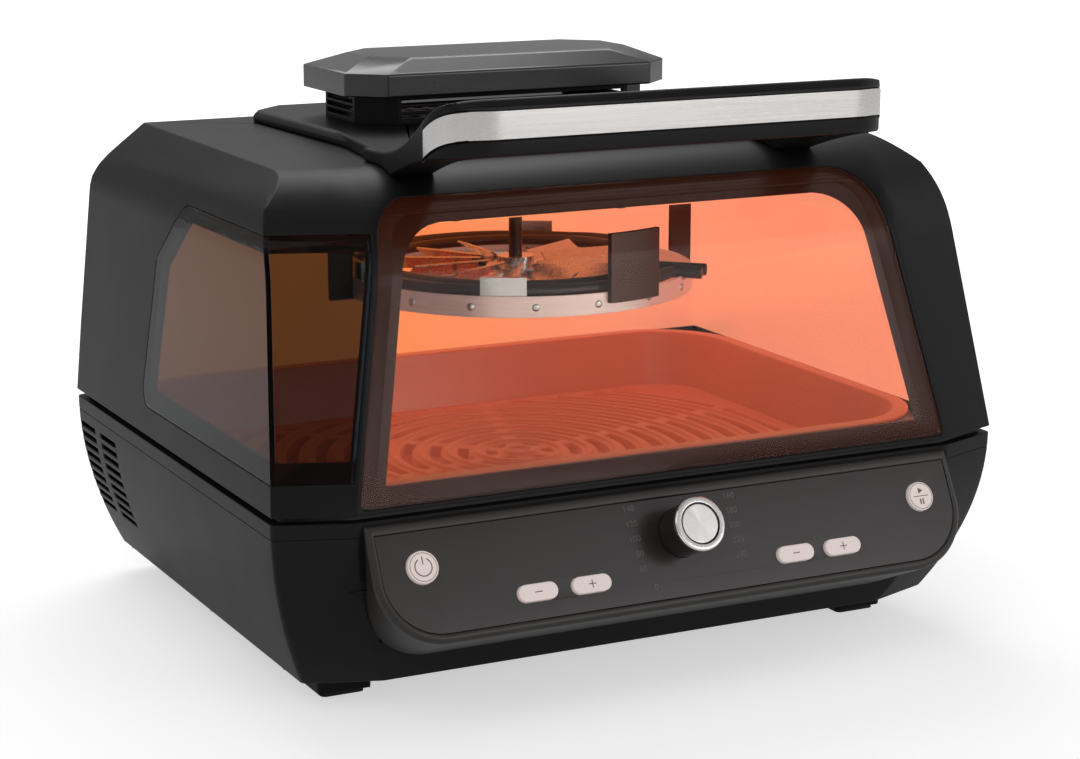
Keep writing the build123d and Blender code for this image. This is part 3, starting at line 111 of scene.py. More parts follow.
# Stage: lamps by place, width, height and power in watts; the point they look at; and the camera
LAMPS = {
    "key_light": ((-1.5, -1.3, 2.2), 1.6, 1.6, 7.0),
    "front_softbox": ((1.0, -2.1, 0.75), 1.3, 0.9, 8.0),
    "left_softbox": ((-2.2, 0.1, 1.0), 1.0, 1.2, 1.6),
    "right_softbox": ((2.3, -0.5, 1.0), 1.2, 1.2, 3.0),
    "top_light": ((0.3, 1.6, 2.0), 2.0, 1.4, 22.0),
}
LAMP_AIM = Vector((0, 0, 0.15))
CAMERA_LENS = 85.95
CAMERA_PLACE = (-0.6672, -1.3257, 0.4717)
CAMERA_LOOK = Vector((0.440, 0.871, -0.219))
FLOOR_HALF = 9
WHITE = (1, 1, 1, 1)

# How white the surroundings are in reflections, the world's strength for other rays and for seen ones,
# and the floor's own light: from and to which distance, and its level at both
WORLD_MIRRORED = 0.12
WORLD_STRENGTH = (0.27, 1.0)
FLOOR_MIRRORED = 0.35
FLOOR_LIGHT = (0.5, 2.6, 0.56, 0.9)

# The lining's painted glow: where it changes across the oven, and how it grows with height
GLOW_ACROSS = (-0.12, 0.2, 0.0, 1.0)
GLOW_HEIGHT = (0.12, 0.25, 0.8, 1.0)

# CAD nodes with another finish than their slot's
OWN_FINISH = {
    "control_housing": "housing",
    "knob_disc": "disc",
    "front_frame": "border",
    "side_frame": "border",
    "lid_ring_plate": "dark_steel",
    "cap_cover": "cap",
    "reflector_ring": "ring_steel",
    "fan_shaft": "dark_steel",
}

# Finishes: depth of the fine relief, how far lines on sheet steel are stretched, and the finishes made
FINE_DEPTH = 0.00001
SHEET_LINES = (60.0, 60.0, 700.0)
FINISH_NAMES = {}


# Node helpers

def place(tree, kind, inputs=None, **settings):
    """Add a node, set its properties, and fill its inputs with values or links."""
    node = tree.nodes.new(kind)
    for key, value in settings.items():
        setattr(node, key, value)
    for name, value in (inputs or {}).items():
        if isinstance(value, bpy.types.NodeSocket):
            tree.links.new(value, node.inputs[name])
        else:
            node.inputs[name].default_value = value
    return node


def maths(tree, operation, first, second, **settings):
    """What a maths node makes of two numbers or sockets."""
    node = place(tree, "ShaderNodeMath", {0: first, 1: second}, operation=operation, **settings)
    return node.outputs[0]


def vectors(tree, operation, *given, result="Vector"):
    """What a vector maths node makes of one or two vectors or sockets."""
    node = place(tree, "ShaderNodeVectorMath", dict(enumerate(given)), operation=operation)
    return node.outputs[result]


def scaled(tree, colour, factor):
    """A colour times a factor."""
    node = place(tree, "ShaderNodeVectorMath", {0: colour, "Scale": factor}, operation="SCALE")
    return node.outputs[0]


def mapped(tree, value, span, **settings):
    """A value, mapped from the first two ends of a span to its last two."""
    ends = dict(zip(("From Min", "From Max", "To Min", "To Max"), span))
    node = place(tree, "ShaderNodeMapRange", {"Value": value, **ends}, **settings)
    return node.outputs["Result"]


def own_place(tree):
    """Where a point of the object is, in the object's own frame."""
    return place(tree, "ShaderNodeTexCoord").outputs["Object"]


def new_group(name, kind, inputs, outputs):
    """A node group with the named inputs (socket type and default) and outputs (socket type)."""
    tree = bpy.data.node_groups.new(name, kind)
    for label, (socket, default) in inputs.items():
        made = tree.interface.new_socket(label, in_out="INPUT", socket_type=socket)
        if default is not None:
            made.default_value = default
    for label, socket in outputs.items():
        tree.interface.new_socket(label, in_out="OUTPUT", socket_type=socket)
    return tree, tree.nodes.new("NodeGroupInput"), tree.nodes.new("NodeGroupOutput")


def varied(tree, noise, given, result):
    """Tint a group's colour by a noise, and return the noise about its middle, plain and as used."""
    off = maths(tree, "SUBTRACT", noise.outputs["Fac"], 0.5)
    swing = maths(tree, "MULTIPLY", off, given.outputs["Variation"])
    gain = maths(tree, "ADD", swing, 1.0)
    tree.links.new(scaled(tree, given.outputs["Color"], gain), result.inputs["Color"])
    return off, swing


def grain_group():
    """Fine moulded or cast grain with cloudy colour and roughness, built once."""
    if "Fine Grain" in bpy.data.node_groups:
        return bpy.data.node_groups["Fine Grain"]
    tree, given, result = new_group(
        "Fine Grain",
        "ShaderNodeTree",
        {
            "Color": ("NodeSocketColor", (0.05, 0.05, 0.05, 1)),
            "Roughness": ("NodeSocketFloat", 0.45),
            "Grain Scale": ("NodeSocketFloat", 1500.0),
            "Variation": ("NodeSocketFloat", 0.1),
            "Smudge": ("NodeSocketFloat", 0.08),
        },
        {"Color": "NodeSocketColor", "Roughness": "NodeSocketFloat", "Height": "NodeSocketFloat"},
    )
    where = own_place(tree)
    fine = place(
        tree,
        "ShaderNodeTexNoise",
        {"Vector": where, "Scale": given.outputs["Grain Scale"], "Detail": 3.0, "Roughness": 0.6},
    )
    cloud = place(
        tree, "ShaderNodeTexNoise", {"Vector": where, "Scale": 16.0, "Detail": 5.0, "Roughness": 0.65}
    )
    off = varied(tree, cloud, given, result)[0]
    smear = maths(tree, "MULTIPLY", off, given.outputs["Smudge"])
    rough = maths(tree, "ADD", smear, given.outputs["Roughness"])
    tree.links.new(rough, result.inputs["Roughness"])
    tree.links.new(fine.outputs["Fac"], result.inputs["Height"])
    return tree


def brushed_group():
    """Fine brushed lines along one axis, built once."""
    if "Brushed Lines" in bpy.data.node_groups:
        return bpy.data.node_groups["Brushed Lines"]
    tree, given, result = new_group(
        "Brushed Lines",
        "ShaderNodeTree",
        {
            "Vector": ("NodeSocketVector", None),
            "Color": ("NodeSocketColor", (0.8, 0.8, 0.8, 1)),
            "Roughness": ("NodeSocketFloat", 0.3),
            "Variation": ("NodeSocketFloat", 0.25),
        },
        {"Color": "NodeSocketColor", "Roughness": "NodeSocketFloat", "Height": "NodeSocketFloat"},
    )
    lines = place(
        tree,
        "ShaderNodeTexNoise",
        {"Vector": given.outputs["Vector"], "Scale": 1.0, "Detail": 4.0, "Roughness": 0.7},
    )
    swing = varied(tree, lines, given, result)[1]
    rough = maths(tree, "ADD", swing, given.outputs["Roughness"])
    tree.links.new(rough, result.inputs["Roughness"])
    tree.links.new(lines.outputs["Fac"], result.inputs["Height"])
    return tree


def spun_group():
    """Broad pale sectors and fine rings about the centre line of a turned disc, built once."""
    if "Spun Disc" in bpy.data.node_groups:
        return bpy.data.node_groups["Spun Disc"]
    tree, given, result = new_group(
        "Spun Disc",
        "ShaderNodeTree",
        {
            "Centre": ("NodeSocketVector", None),
            "Axis": ("NodeSocketVector", None),
            "Color": ("NodeSocketColor", (0.8, 0.8, 0.8, 1)),
            "Sectors": ("NodeSocketFloat", 1.6),
            "Variation": ("NodeSocketFloat", 0.5),
        },
        {"Color": "NodeSocketColor", "Height": "NodeSocketFloat"},
    )
    arm = vectors(tree, "SUBTRACT", own_place(tree), given.outputs["Centre"])
    across = vectors(tree, "CROSS_PRODUCT", arm, given.outputs["Axis"])
    unit = vectors(tree, "NORMALIZE", across)
    radius = vectors(tree, "LENGTH", across, result="Value")
    sectors = place(
        tree, "ShaderNodeTexNoise", {"Vector": unit, "Scale": given.outputs["Sectors"], "Detail": 1.0}
    )
    rings = place(tree, "ShaderNodeTexNoise", {"W": radius, "Scale": 5000.0}, noise_dimensions="1D")
    varied(tree, sectors, given, result)
    tree.links.new(rings.outputs["Fac"], result.inputs["Height"])
    return tree


def edge_tint_group():
    """A mask of the outer edges, from how far a rounded normal leans from the plain one, built once."""
    if "Edge Mask" in bpy.data.node_groups:
        return bpy.data.node_groups["Edge Mask"]
    tree, given, result = new_group(
        "Edge Mask",
        "ShaderNodeTree",
        {"Radius": ("NodeSocketFloat", 0.001), "Amount": ("NodeSocketFloat", 1.0)},
        {"Mask": "NodeSocketFloat"},
    )
    rounded = place(tree, "ShaderNodeBevel", {"Radius": given.outputs["Radius"]}, samples=4)
    plain = place(tree, "ShaderNodeNewGeometry").outputs["Normal"]
    level = vectors(tree, "DOT_PRODUCT", rounded.outputs[0], plain, result="Value")
    lean = maths(tree, "SUBTRACT", 1.0, level)
    mask = maths(tree, "MULTIPLY", lean, given.outputs["Amount"], use_clamp=True)
    tree.links.new(mask, result.inputs["Mask"])
    return tree


# Finishes

def blank_material(name):
    """An empty material, its tree and its output node."""
    material = bpy.data.materials.new(name)
    material.use_nodes = True
    material.node_tree.nodes.clear()
    return material, material.node_tree, material.node_tree.nodes.new("ShaderNodeOutputMaterial")


def faced(tree, out, surface, depth, strength, inputs):
    """End a material with a Principled shader: a surface group's relief as fine bump, and the inputs."""
    bump = place(
        tree,
        "ShaderNodeBump",
        {"Height": surface.outputs["Height"], "Distance": depth, "Strength": strength},
    )
    principled = place(tree, "ShaderNodeBsdfPrincipled", {"Normal": bump.outputs[0], **inputs})
    tree.links.new(principled.outputs[0], out.inputs["Surface"])
    return principled


def moulded(
    name,
    colour,
    roughness,
    grain=1500.0,
    depth=FINE_DEPTH,
    variation=0.12,
    smudge=0.1,
    edge=0.0,
    edge_colour=None,
    shader=None,
):
    """A moulded, cast or painted finish with fine grain, cloudy colour and, where asked, lighter edges;
    on the pot the edge colour is a painted glow.
    """
    material, tree, out = blank_material(name)
    surface = place(
        tree,
        "ShaderNodeGroup",
        {
            "Color": (*colour, 1),
            "Roughness": roughness,
            "Grain Scale": grain,
            "Variation": variation,
            "Smudge": smudge,
        },
        node_tree=grain_group(),
    )
    base = surface.outputs["Color"]
    # Edges take the edge colour: lighter by default, a painted glow on the pot.
    if edge:
        mask = place(tree, "ShaderNodeGroup", {"Amount": edge}, node_tree=edge_tint_group())
        edge_tinted = place(tree, "ShaderNodeMix", {"Factor": mask.outputs["Mask"], 6: base}, data_type="RGBA")
        edge_tinted.inputs[7].default_value = (*(edge_colour or [2.2 * part + 0.01 for part in colour]), 1)
        base = edge_tinted.outputs[2]
    inputs = {"Base Color": base, "Roughness": surface.outputs["Roughness"], **(shader or {})}
    faced(tree, out, surface, depth, 0.6, inputs)
    return material


def brushed(name, colour, roughness, lines, variation=0.25, shader=None):
    """A brushed metal finish, with lines along the axis that is stretched least."""
    material, tree, out = blank_material(name)
    stretched = place(tree, "ShaderNodeMapping", {"Vector": own_place(tree), "Scale": lines})
    surface = place(
        tree,
        "ShaderNodeGroup",
        {
            "Vector": stretched.outputs[0],
            "Color": (*colour, 1),
            "Roughness": roughness,
            "Variation": variation,
        },
        node_tree=brushed_group(),
    )
    inputs = {
        "Base Color": surface.outputs["Color"],
        "Roughness": surface.outputs["Roughness"],
        "Metallic": 1.0,
        **(shader or {}),
    }
    faced(tree, out, surface, FINE_DEPTH, 0.5, inputs)
    return material


def glazed(name, tint, roughness, shade, index):
    """Glass that lets light through to what stands behind it, with a little wear in its polish."""
    material, tree, out = blank_material(name)
    haze = place(tree, "ShaderNodeTexNoise", {"Vector": own_place(tree), "Scale": 9.0, "Detail": 4.0})
    polish = mapped(tree, haze.outputs["Fac"], (0.0, 1.0, roughness, roughness * 2.5))
    principled = place(
        tree,
        "ShaderNodeBsdfPrincipled",
        {"Base Color": (*tint, 1), "Roughness": polish, "Transmission Weight": 1.0, "IOR": index},
    )
    clear = place(tree, "ShaderNodeBsdfTransparent", {"Color": (*shade, 1)})
    path = place(tree, "ShaderNodeLightPath")
    unseen = maths(tree, "MAXIMUM", path.outputs["Is Shadow Ray"], path.outputs["Is Diffuse Ray"])
    mix = place(
        tree, "ShaderNodeMixShader", {0: unseen, 1: principled.outputs[0], 2: clear.outputs[0]}
    )
    tree.links.new(mix.outputs[0], out.inputs["Surface"])
    return material


def spun(name, colour, centre, axis, roughness):
    """Turned metal with pale sectors about its centre line and fine rings in its relief."""
    material, tree, out = blank_material(name)
    surface = place(
        tree,
        "ShaderNodeGroup",
        {"Centre": centre, "Axis": axis, "Color": (*colour, 1)},
        node_tree=spun_group(),
    )
    inputs = {"Base Color": surface.outputs["Color"], "Metallic": 1.0, "Roughness": roughness}
    faced(tree, out, surface, FINE_DEPTH, 0.4, inputs)
    return material


def painted_glow_steel(name, colour, near, far, strength):
    """Steel sheet with a painted glow, stronger higher up, from one colour at the left to one at the
    right.
    """
    material = brushed(name, colour, 0.35, (60.0, 60.0, 900.0), variation=0.15)
    tree = material.node_tree
    principled = next(node for node in tree.nodes if node.type == "BSDF_PRINCIPLED")
    where = own_place(tree)
    apart = place(tree, "ShaderNodeSeparateXYZ", {0: where})
    across = mapped(tree, apart.outputs["X"], GLOW_ACROSS, interpolation_type="SMOOTHSTEP")
    tint = place(
        tree, "ShaderNodeMix", {"Factor": across, 6: (*near, 1), 7: (*far, 1)}, data_type="RGBA"
    )
    haze = place(tree, "ShaderNodeTexNoise", {"Vector": where, "Scale": 7.0, "Detail": 3.0})
    height = mapped(tree, apart.outputs["Z"], GLOW_HEIGHT)
    level = mapped(tree, haze.outputs["Fac"], (0.0, 1.0, 0.85, 1.15))
    glow = scaled(tree, tint.outputs[2], maths(tree, "MULTIPLY", height, level))
    tree.links.new(glow, principled.inputs["Emission Color"])
    principled.inputs["Emission Strength"].default_value = strength
    return material


def finishes(look):
    """Every finish of the oven by the record's slot, made once from the look's colours."""
    if "Charcoal Plastic" in bpy.data.materials:
        return {slot: bpy.data.materials[name] for slot, name in FINISH_NAMES.items()}
    shell = tuple(look.shell_colour)
    made = {
        "shell": moulded(
            "Charcoal Plastic",
            shell,
            look.shell_roughness,
            variation=0.2,
            edge=2.0,
            shader={"Specular IOR Level": 0.16},
        ),
        "trim": moulded("Pale Lug", (0.42, 0.36, 0.33), 0.4),
        "rubber": moulded("Foot Rubber", (0.02, 0.02, 0.02), 0.85, grain=900, depth=0.00006),
        "screw": brushed("Zinc Screw", (0.6, 0.6, 0.58), 0.3, (500.0, 500.0, 500.0)),
        "hinge": moulded("Black Hinge", (0.03, 0.03, 0.03), 0.4, grain=700, edge=3.0),
        "well": brushed("Well Steel", (0.6, 0.58, 0.56), 0.35, (40.0, 900.0, 40.0)),
        # The coating's emission is a painted glow, and its edges take the hot edge colour, a painted
        # glow along the rims.
        "pot": moulded(
            "Dark Coating",
            tuple(look.pot_colour),
            0.36,
            grain=1100,
            depth=0.00003,
            variation=0.35,
            smudge=0.2,
            edge=3.0,
            edge_colour=tuple(look.glow_edge),
            shader={
                "Emission Color": (*look.glow_pot, 1),
                "Emission Strength": look.pot_glow_strength,
            },
        ),
        "fascia": moulded("Panel Lacquer", (0.034, 0.027, 0.026), 0.26, grain=2500, depth=0.000004),
        "knob_ring": moulded(
            "Bright Ring",
            (0.9, 0.88, 0.86),
            0.14,
            grain=40,
            depth=0.0,
            variation=0.02,
            shader={"Metallic": 1.0},
        ),
        "brushed": brushed("Brushed Strip", tuple(look.strip_colour), 0.28, (8.0, 900.0, 900.0)),
        # The buttons' faint emission is painted light that makes them lighter.
        "button": moulded(
            "Pale Button",
            tuple(look.button_colour),
            0.35,
            variation=0.06,
            shader={"Emission Color": (1, 0.87, 0.83, 1), "Emission Strength": 0.2},
        ),
        "component": moulded("Component", (0.06, 0.06, 0.06), 0.5),
        "board": moulded("Circuit Board", (0.02, 0.16, 0.07), 0.4, variation=0.3),
        "brass": brushed("Brass Pillar", (0.75, 0.55, 0.25), 0.3, (600.0, 600.0, 60.0)),
        "glass": glazed("Window Glass", (0.98, 0.96, 0.95), 0.008, (0.9, 0.9, 0.9), index=1.14),
        "smoked_glass": glazed(
            "Smoked Glass",
            tuple(look.smoke_colour),
            0.008,
            (0.4, 0.4, 0.4),
            index=1.18,
        ),
        # The lining's emission is a painted glow.
        "liner": painted_glow_steel(
            "Heat Lit Steel",
            (0.24, 0.13, 0.08),
            tuple(look.glow_near),
            tuple(look.glow_far),
            look.glow_strength,
        ),
        "seal": moulded("Silicone Seal", (0.02, 0.018, 0.018), 0.6),
        "dark_steel": brushed("Heat Dark Steel", (0.07, 0.04, 0.032), 0.4, SHEET_LINES, variation=0.5),
        # The ring's emission is a painted glow that makes it lighter.
        "ring_steel": brushed(
            "Ring Steel",
            (0.78, 0.6, 0.53),
            0.4,
            SHEET_LINES,
            variation=0.6,
            shader={"Metallic": 0.55, "Emission Color": (1, 0.58, 0.46, 1), "Emission Strength": 0.09},
        ),
        # The surround's lighter colour and lighter edges are painted light along the panel's rim.
        "housing": moulded("Panel Surround", (0.026, 0.023, 0.021), 0.4, variation=0.2, edge=3.0),
        # The cap's colour, half as light again as the shell's, is a painted sheen.
        "cap": moulded(
            "Cap Lacquer",
            [1.5 * part for part in shell],
            0.26,
            variation=0.2,
            edge=2.0,
            shader={"Specular IOR Level": 0.75},
        ),
        "clip": brushed("Clip Steel", (0.5, 0.47, 0.44), 0.3, SHEET_LINES),
        "motor": moulded("Motor Can", (0.07, 0.07, 0.075), 0.4, shader={"Metallic": 0.6}),
        "fan": brushed("Fan Sheet", (0.5, 0.46, 0.45), 0.24, (500.0, 500.0, 60.0), variation=0.5),
        "disc": spun("Turned Disc", tuple(look.strip_colour), panel_point(0, DIAL_DROP), PANEL_OUT, 0.3),
        "print": moulded("Panel Print", (0.13, 0.12, 0.12), 0.5, variation=0.05),
        "sign": moulded("Button Sign", (0.22, 0.13, 0.11), 0.5, variation=0.05),
        # The border's faint orange emission is a painted glow.
        "border": moulded(
            "Printed Border",
            (0.03, 0.009, 0.005),
            0.4,
            depth=0.000004,
            shader={
                "Specular IOR Level": 0.12,
                "Emission Color": (1, 0.22, 0.08, 1),
                "Emission Strength": 0.015,
            },
        ),
        "element": moulded(
            "Heater Tube",
            (0.05, 0.035, 0.03),
            0.45,
            grain=800,
            variation=0.5,
            shader={"Metallic": 0.5},
        ),
    }
    for slot, material in made.items():
        FINISH_NAMES[slot] = material.name
    return made


# Mesh helpers

def link(piece):
    """Put a piece in the scene."""
    bpy.context.scene.collection.objects.link(piece)
    return piece


def baked(piece):
    """Turn a piece with modifiers into a plain mesh."""
    depsgraph = bpy.context.evaluated_depsgraph_get()
    mesh = bpy.data.meshes.new_from_object(piece.evaluated_get(depsgraph))
    piece.modifiers.clear()
    old = piece.data
    piece.data = mesh
    if old.users == 0 and isinstance(old, bpy.types.Mesh):
        bpy.data.meshes.remove(old)
    return piece


def dress(piece, body, slot, *replaced, finish=None):
    """Give a piece its finish, let it ride on its body, and hide the CAD nodes that it stands for."""
    material = finishes(bpy.context.scene.oven_look)[finish or slot]
    piece.data.materials.clear()
    piece.data.materials.append(material)
    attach(piece, body)
    if replaced:
        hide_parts(*replaced)
    return piece


def softened(node, width):
    """A merged copy of a CAD node with small rounded edges and smooth shading, in the node's place."""
    bm = bmesh.new()
    bm.from_mesh(NODES[node].data)
    bmesh.ops.remove_doubles(bm, verts=bm.verts, dist=1e-6)
    piece = link(bpy.data.objects.new(node + "_soft", mesh_of(bm, node + "_soft")))
    if width:
        bevel = piece.modifiers.new("Edges", "BEVEL")
        bevel.width = width
        bevel.segments = 3 if width > bpy.context.scene.oven_look.edge_round else 2
        bevel.limit_method = "ANGLE"
        bevel.angle_limit = BEVEL_ANGLE
        bevel.use_clamp_overlap = False
        baked(piece)
    piece.data.shade_smooth()
    piece.data.set_sharp_from_angle(angle=SHARP_ANGLE)
    weighted = piece.modifiers.new("Normals", "WEIGHTED_NORMAL")
    weighted.keep_sharp = True
    baked(piece)
    return dress(piece, BODY_OF[node], SLOT_OF[node], node, finish=OWN_FINISH.get(node))


def soften_all(shares):
    """Soften CAD nodes, each by its share of the look's edge rounding."""
    for node, share in shares.items():
        softened(node, share * bpy.context.scene.oven_look.edge_round)


def paint(*nodes):
    """Give CAD nodes that stay as they are their finish."""
    made = finishes(bpy.context.scene.oven_look)
    for node in nodes:
        data = NODES[node].data
        data.materials.clear()
        data.materials.append(made[SLOT_OF[node]])


def panel_point(across, drop, out=0.0):
    """A point on the control panel: metres across, down from its top edge, and out from its plane."""
    return PANEL_TOP + Vector((across, 0, 0)) - PANEL_UP * drop + PANEL_OUT * out


def panel_frame(across, drop, out):
    """The frame of a spot on the control panel, with X across, Y up it and Z out of it."""
    turn = Matrix((Vector((1, 0, 0)), PANEL_UP, PANEL_OUT)).transposed().to_4x4()
    return Matrix.Translation(panel_point(across, drop, out)) @ turn


def mesh_of(bm, name):
    """A mesh from a bmesh, which is freed."""
    mesh = bpy.data.meshes.new(name)
    bm.to_mesh(mesh)
    bm.free()
    return mesh


def joined(name, meshes):
    """One piece from several meshes."""
    bm = bmesh.new()
    for mesh in meshes:
        bm.from_mesh(mesh)
        bpy.data.meshes.remove(mesh)
    return link(bpy.data.objects.new(name, mesh_of(bm, name)))


def lettering(words, align, spot):
    """Thin raised words as a mesh at a spot's frame."""
    curve = bpy.data.curves.new(words, "FONT")
    curve.body = words
    curve.size = NUMBER_SIZE
    curve.align_x = align
    curve.align_y = "CENTER"
    curve.extrude = 0.00003
    holder = link(bpy.data.objects.new(words, curve))
    mesh = bpy.data.meshes.new_from_object(holder.evaluated_get(bpy.context.evaluated_depsgraph_get()))
    bpy.data.objects.remove(holder)
    mesh.transform(spot)
    return mesh


def inlay(outlines, spot, thickness=0.00006):
    """Thin raised shapes as a mesh at a spot's frame, from outlines in its plane."""
    bm = bmesh.new()
    for outline in outlines:
        face = bm.faces.new([bm.verts.new((x, y, 0)) for x, y in outline])
        top = bmesh.ops.extrude_face_region(bm, geom=[face])["geom"]
        lifted = [item for item in top if isinstance(item, bmesh.types.BMVert)]
        bmesh.ops.translate(bm, verts=lifted, vec=(0, 0, thickness))
    bmesh.ops.recalc_face_normals(bm, faces=bm.faces)
    mesh = mesh_of(bm, "inlay")
    mesh.transform(spot)
    return mesh


def signed(name, body, outlines, across, drop):
    """A sign on the face of a button, from outlines about the face's middle."""
    piece = joined(name, [inlay(outlines, panel_frame(across, drop, BUTTON_OUT))])
    dress(piece, body, "component", finish="sign")


def bar(left, low, right, high):
    """The outline of an upright rectangle."""
    return [(left, low), (right, low), (right, high), (left, high)]


def arc_band(radius, width, start, end, steps=28):
    """Short quads that make up an arc of a ring, between two angles in degrees."""
    quads = []
    for step in range(steps):
        first = math.radians(start + (end - start) * step / steps)
        last = math.radians(start + (end - start) * (step + 1) / steps)
        ends = [(radius, first), (radius + width, first), (radius + width, last), (radius, last)]
        quads.append([(reach * math.cos(turn), reach * math.sin(turn)) for reach, turn in ends])
    return quads


def tree_of(node):
    """A search tree of a CAD node's faces."""
    data = NODES[node].data
    corners = [vertex.co for vertex in data.vertices]
    return BVHTree.FromPolygons(corners, [tuple(face.vertices) for face in data.polygons])


def surface_at(node, start, direction):
    """The first point of a CAD node that a ray from the start meets."""
    hit = tree_of(node).ray_cast(Vector(start), Vector(direction))
    if hit[0] is None:
        raise RuntimeError("no face of " + node + " on the ray")
    return hit[0]


def ring_group():
    """Copies of a mesh in a ring about an upright axis, each facing outwards, with one finish."""
    if "Ring Of Copies" in bpy.data.node_groups:
        return bpy.data.node_groups["Ring Of Copies"]
    tree, given, result = new_group(
        "Ring Of Copies",
        "GeometryNodeTree",
        {
            "Geometry": ("NodeSocketGeometry", None),
            "Count": ("NodeSocketInt", 12),
            "Radius": ("NodeSocketFloat", 0.1),
            "Centre": ("NodeSocketVector", (0, 0, 0)),
            "Turn": ("NodeSocketFloat", 0.0),
            "Material": ("NodeSocketMaterial", None),
        },
        {"Geometry": "NodeSocketGeometry"},
    )
    circle = place(
        tree,
        "GeometryNodeMeshCircle",
        {"Vertices": given.outputs["Count"], "Radius": given.outputs["Radius"]},
    )
    outward = place(
        tree,
        "FunctionNodeAlignRotationToVector",
        {"Vector": place(tree, "GeometryNodeInputPosition").outputs[0]},
        axis="X",
        pivot_axis="Z",
    )
    copies = place(
        tree,
        "GeometryNodeInstanceOnPoints",
        {
            "Points": circle.outputs[0],
            "Instance": given.outputs["Geometry"],
            "Rotation": outward.outputs[0],
        },
    )
    turn = place(tree, "ShaderNodeCombineXYZ", {"Z": given.outputs["Turn"]})
    moved = place(
        tree,
        "GeometryNodeTransform",
        {
            "Geometry": copies.outputs[0],
            "Translation": given.outputs["Centre"],
            "Rotation": turn.outputs[0],
        },
    )
    finish_copies(tree, moved, given, result)
    return tree


def rows_group():
    """Copies of a mesh in columns and rows from a first place, with one finish."""
    if "Rows Of Copies" in bpy.data.node_groups:
        return bpy.data.node_groups["Rows Of Copies"]
    tree, given, result = new_group(
        "Rows Of Copies",
        "GeometryNodeTree",
        {
            "Geometry": ("NodeSocketGeometry", None),
            "Columns": ("NodeSocketInt", 4),
            "Column Step": ("NodeSocketVector", (0.01, 0, 0)),
            "Rows": ("NodeSocketInt", 2),
            "Row Step": ("NodeSocketVector", (0, 0, 0.01)),
            "First": ("NodeSocketVector", (0, 0, 0)),
            "Material": ("NodeSocketMaterial", None),
        },
        {"Geometry": "NodeSocketGeometry"},
    )
    made = given.outputs["Geometry"]
    for count, step in (("Columns", "Column Step"), ("Rows", "Row Step")):
        line = place(
            tree,
            "GeometryNodeMeshLine",
            {"Count": given.outputs[count], "Offset": given.outputs[step]},
        )
        made = place(
            tree,
            "GeometryNodeInstanceOnPoints",
            {"Points": line.outputs[0], "Instance": made},
        ).outputs[0]
    moved = place(
        tree, "GeometryNodeTransform", {"Geometry": made, "Translation": given.outputs["First"]}
    )
    finish_copies(tree, moved, given, result)
    return tree


def finish_copies(tree, copies, given, result):
    """End a group of copies: real meshes with the given finish."""
    real = place(tree, "GeometryNodeRealizeInstances", {"Geometry": copies.outputs[0]})
    finished = place(
        tree,
        "GeometryNodeSetMaterial",
        {"Geometry": real.outputs[0], "Material": given.outputs["Material"]},
    )
    tree.links.new(finished.outputs[0], result.inputs["Geometry"])


def repeated(name, shape, group, body, slot, **settings):
    """A piece of many copies of a shape, made by a group of geometry nodes and kept as a plain mesh."""
    piece = link(bpy.data.objects.new(name, shape))
    modifier = piece.modifiers.new("Copies", "NODES")
    modifier.node_group = group
    settings["Material"] = finishes(bpy.context.scene.oven_look)[slot]
    for socket in group.interface.items_tree:
        wanted = socket.name.replace(" ", "_")
        if socket.in_out == "INPUT" and wanted in settings:
            modifier[socket.identifier] = settings[wanted]
    baked(piece)
    return dress(piece, body, slot)


def dome(radius, height, turned):
    """A shallow rivet or screw head: "zxy" makes it look along X, and "yzx" along Y."""
    bm = bmesh.new()
    bmesh.ops.create_uvsphere(bm, u_segments=20, v_segments=12, radius=radius)
    buried = [vert for vert in bm.verts if vert.co.z < -1e-6]
    bmesh.ops.delete(bm, geom=buried, context="VERTS")
    bmesh.ops.scale(bm, verts=bm.verts, vec=(1, 1, height / radius))
    for vert in bm.verts:
        vert.co = getattr(vert.co, turned)
    mesh = mesh_of(bm, "dome")
    mesh.shade_smooth()
    return mesh


def hinge_screws(name, node, body, height):
    """Two screw heads on each of the two rear hinge leaves, at a height."""
    low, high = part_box(node)
    return repeated(
        name,
        dome(SCREW_RADIUS, SCREW_HEIGHT, "yzx"),
        rows_group(),
        body,
        "screw",
        Columns=2,
        Column_Step=(high[0] - low[0] - 2 * SCREW_INSET - SCREW_STEP, 0, 0),
        Rows=2,
        Row_Step=(SCREW_STEP, 0, 0),
        First=surface_at(node, (low[0] + SCREW_INSET, high[1] + 0.1, height), (0, -1, 0)),
    )


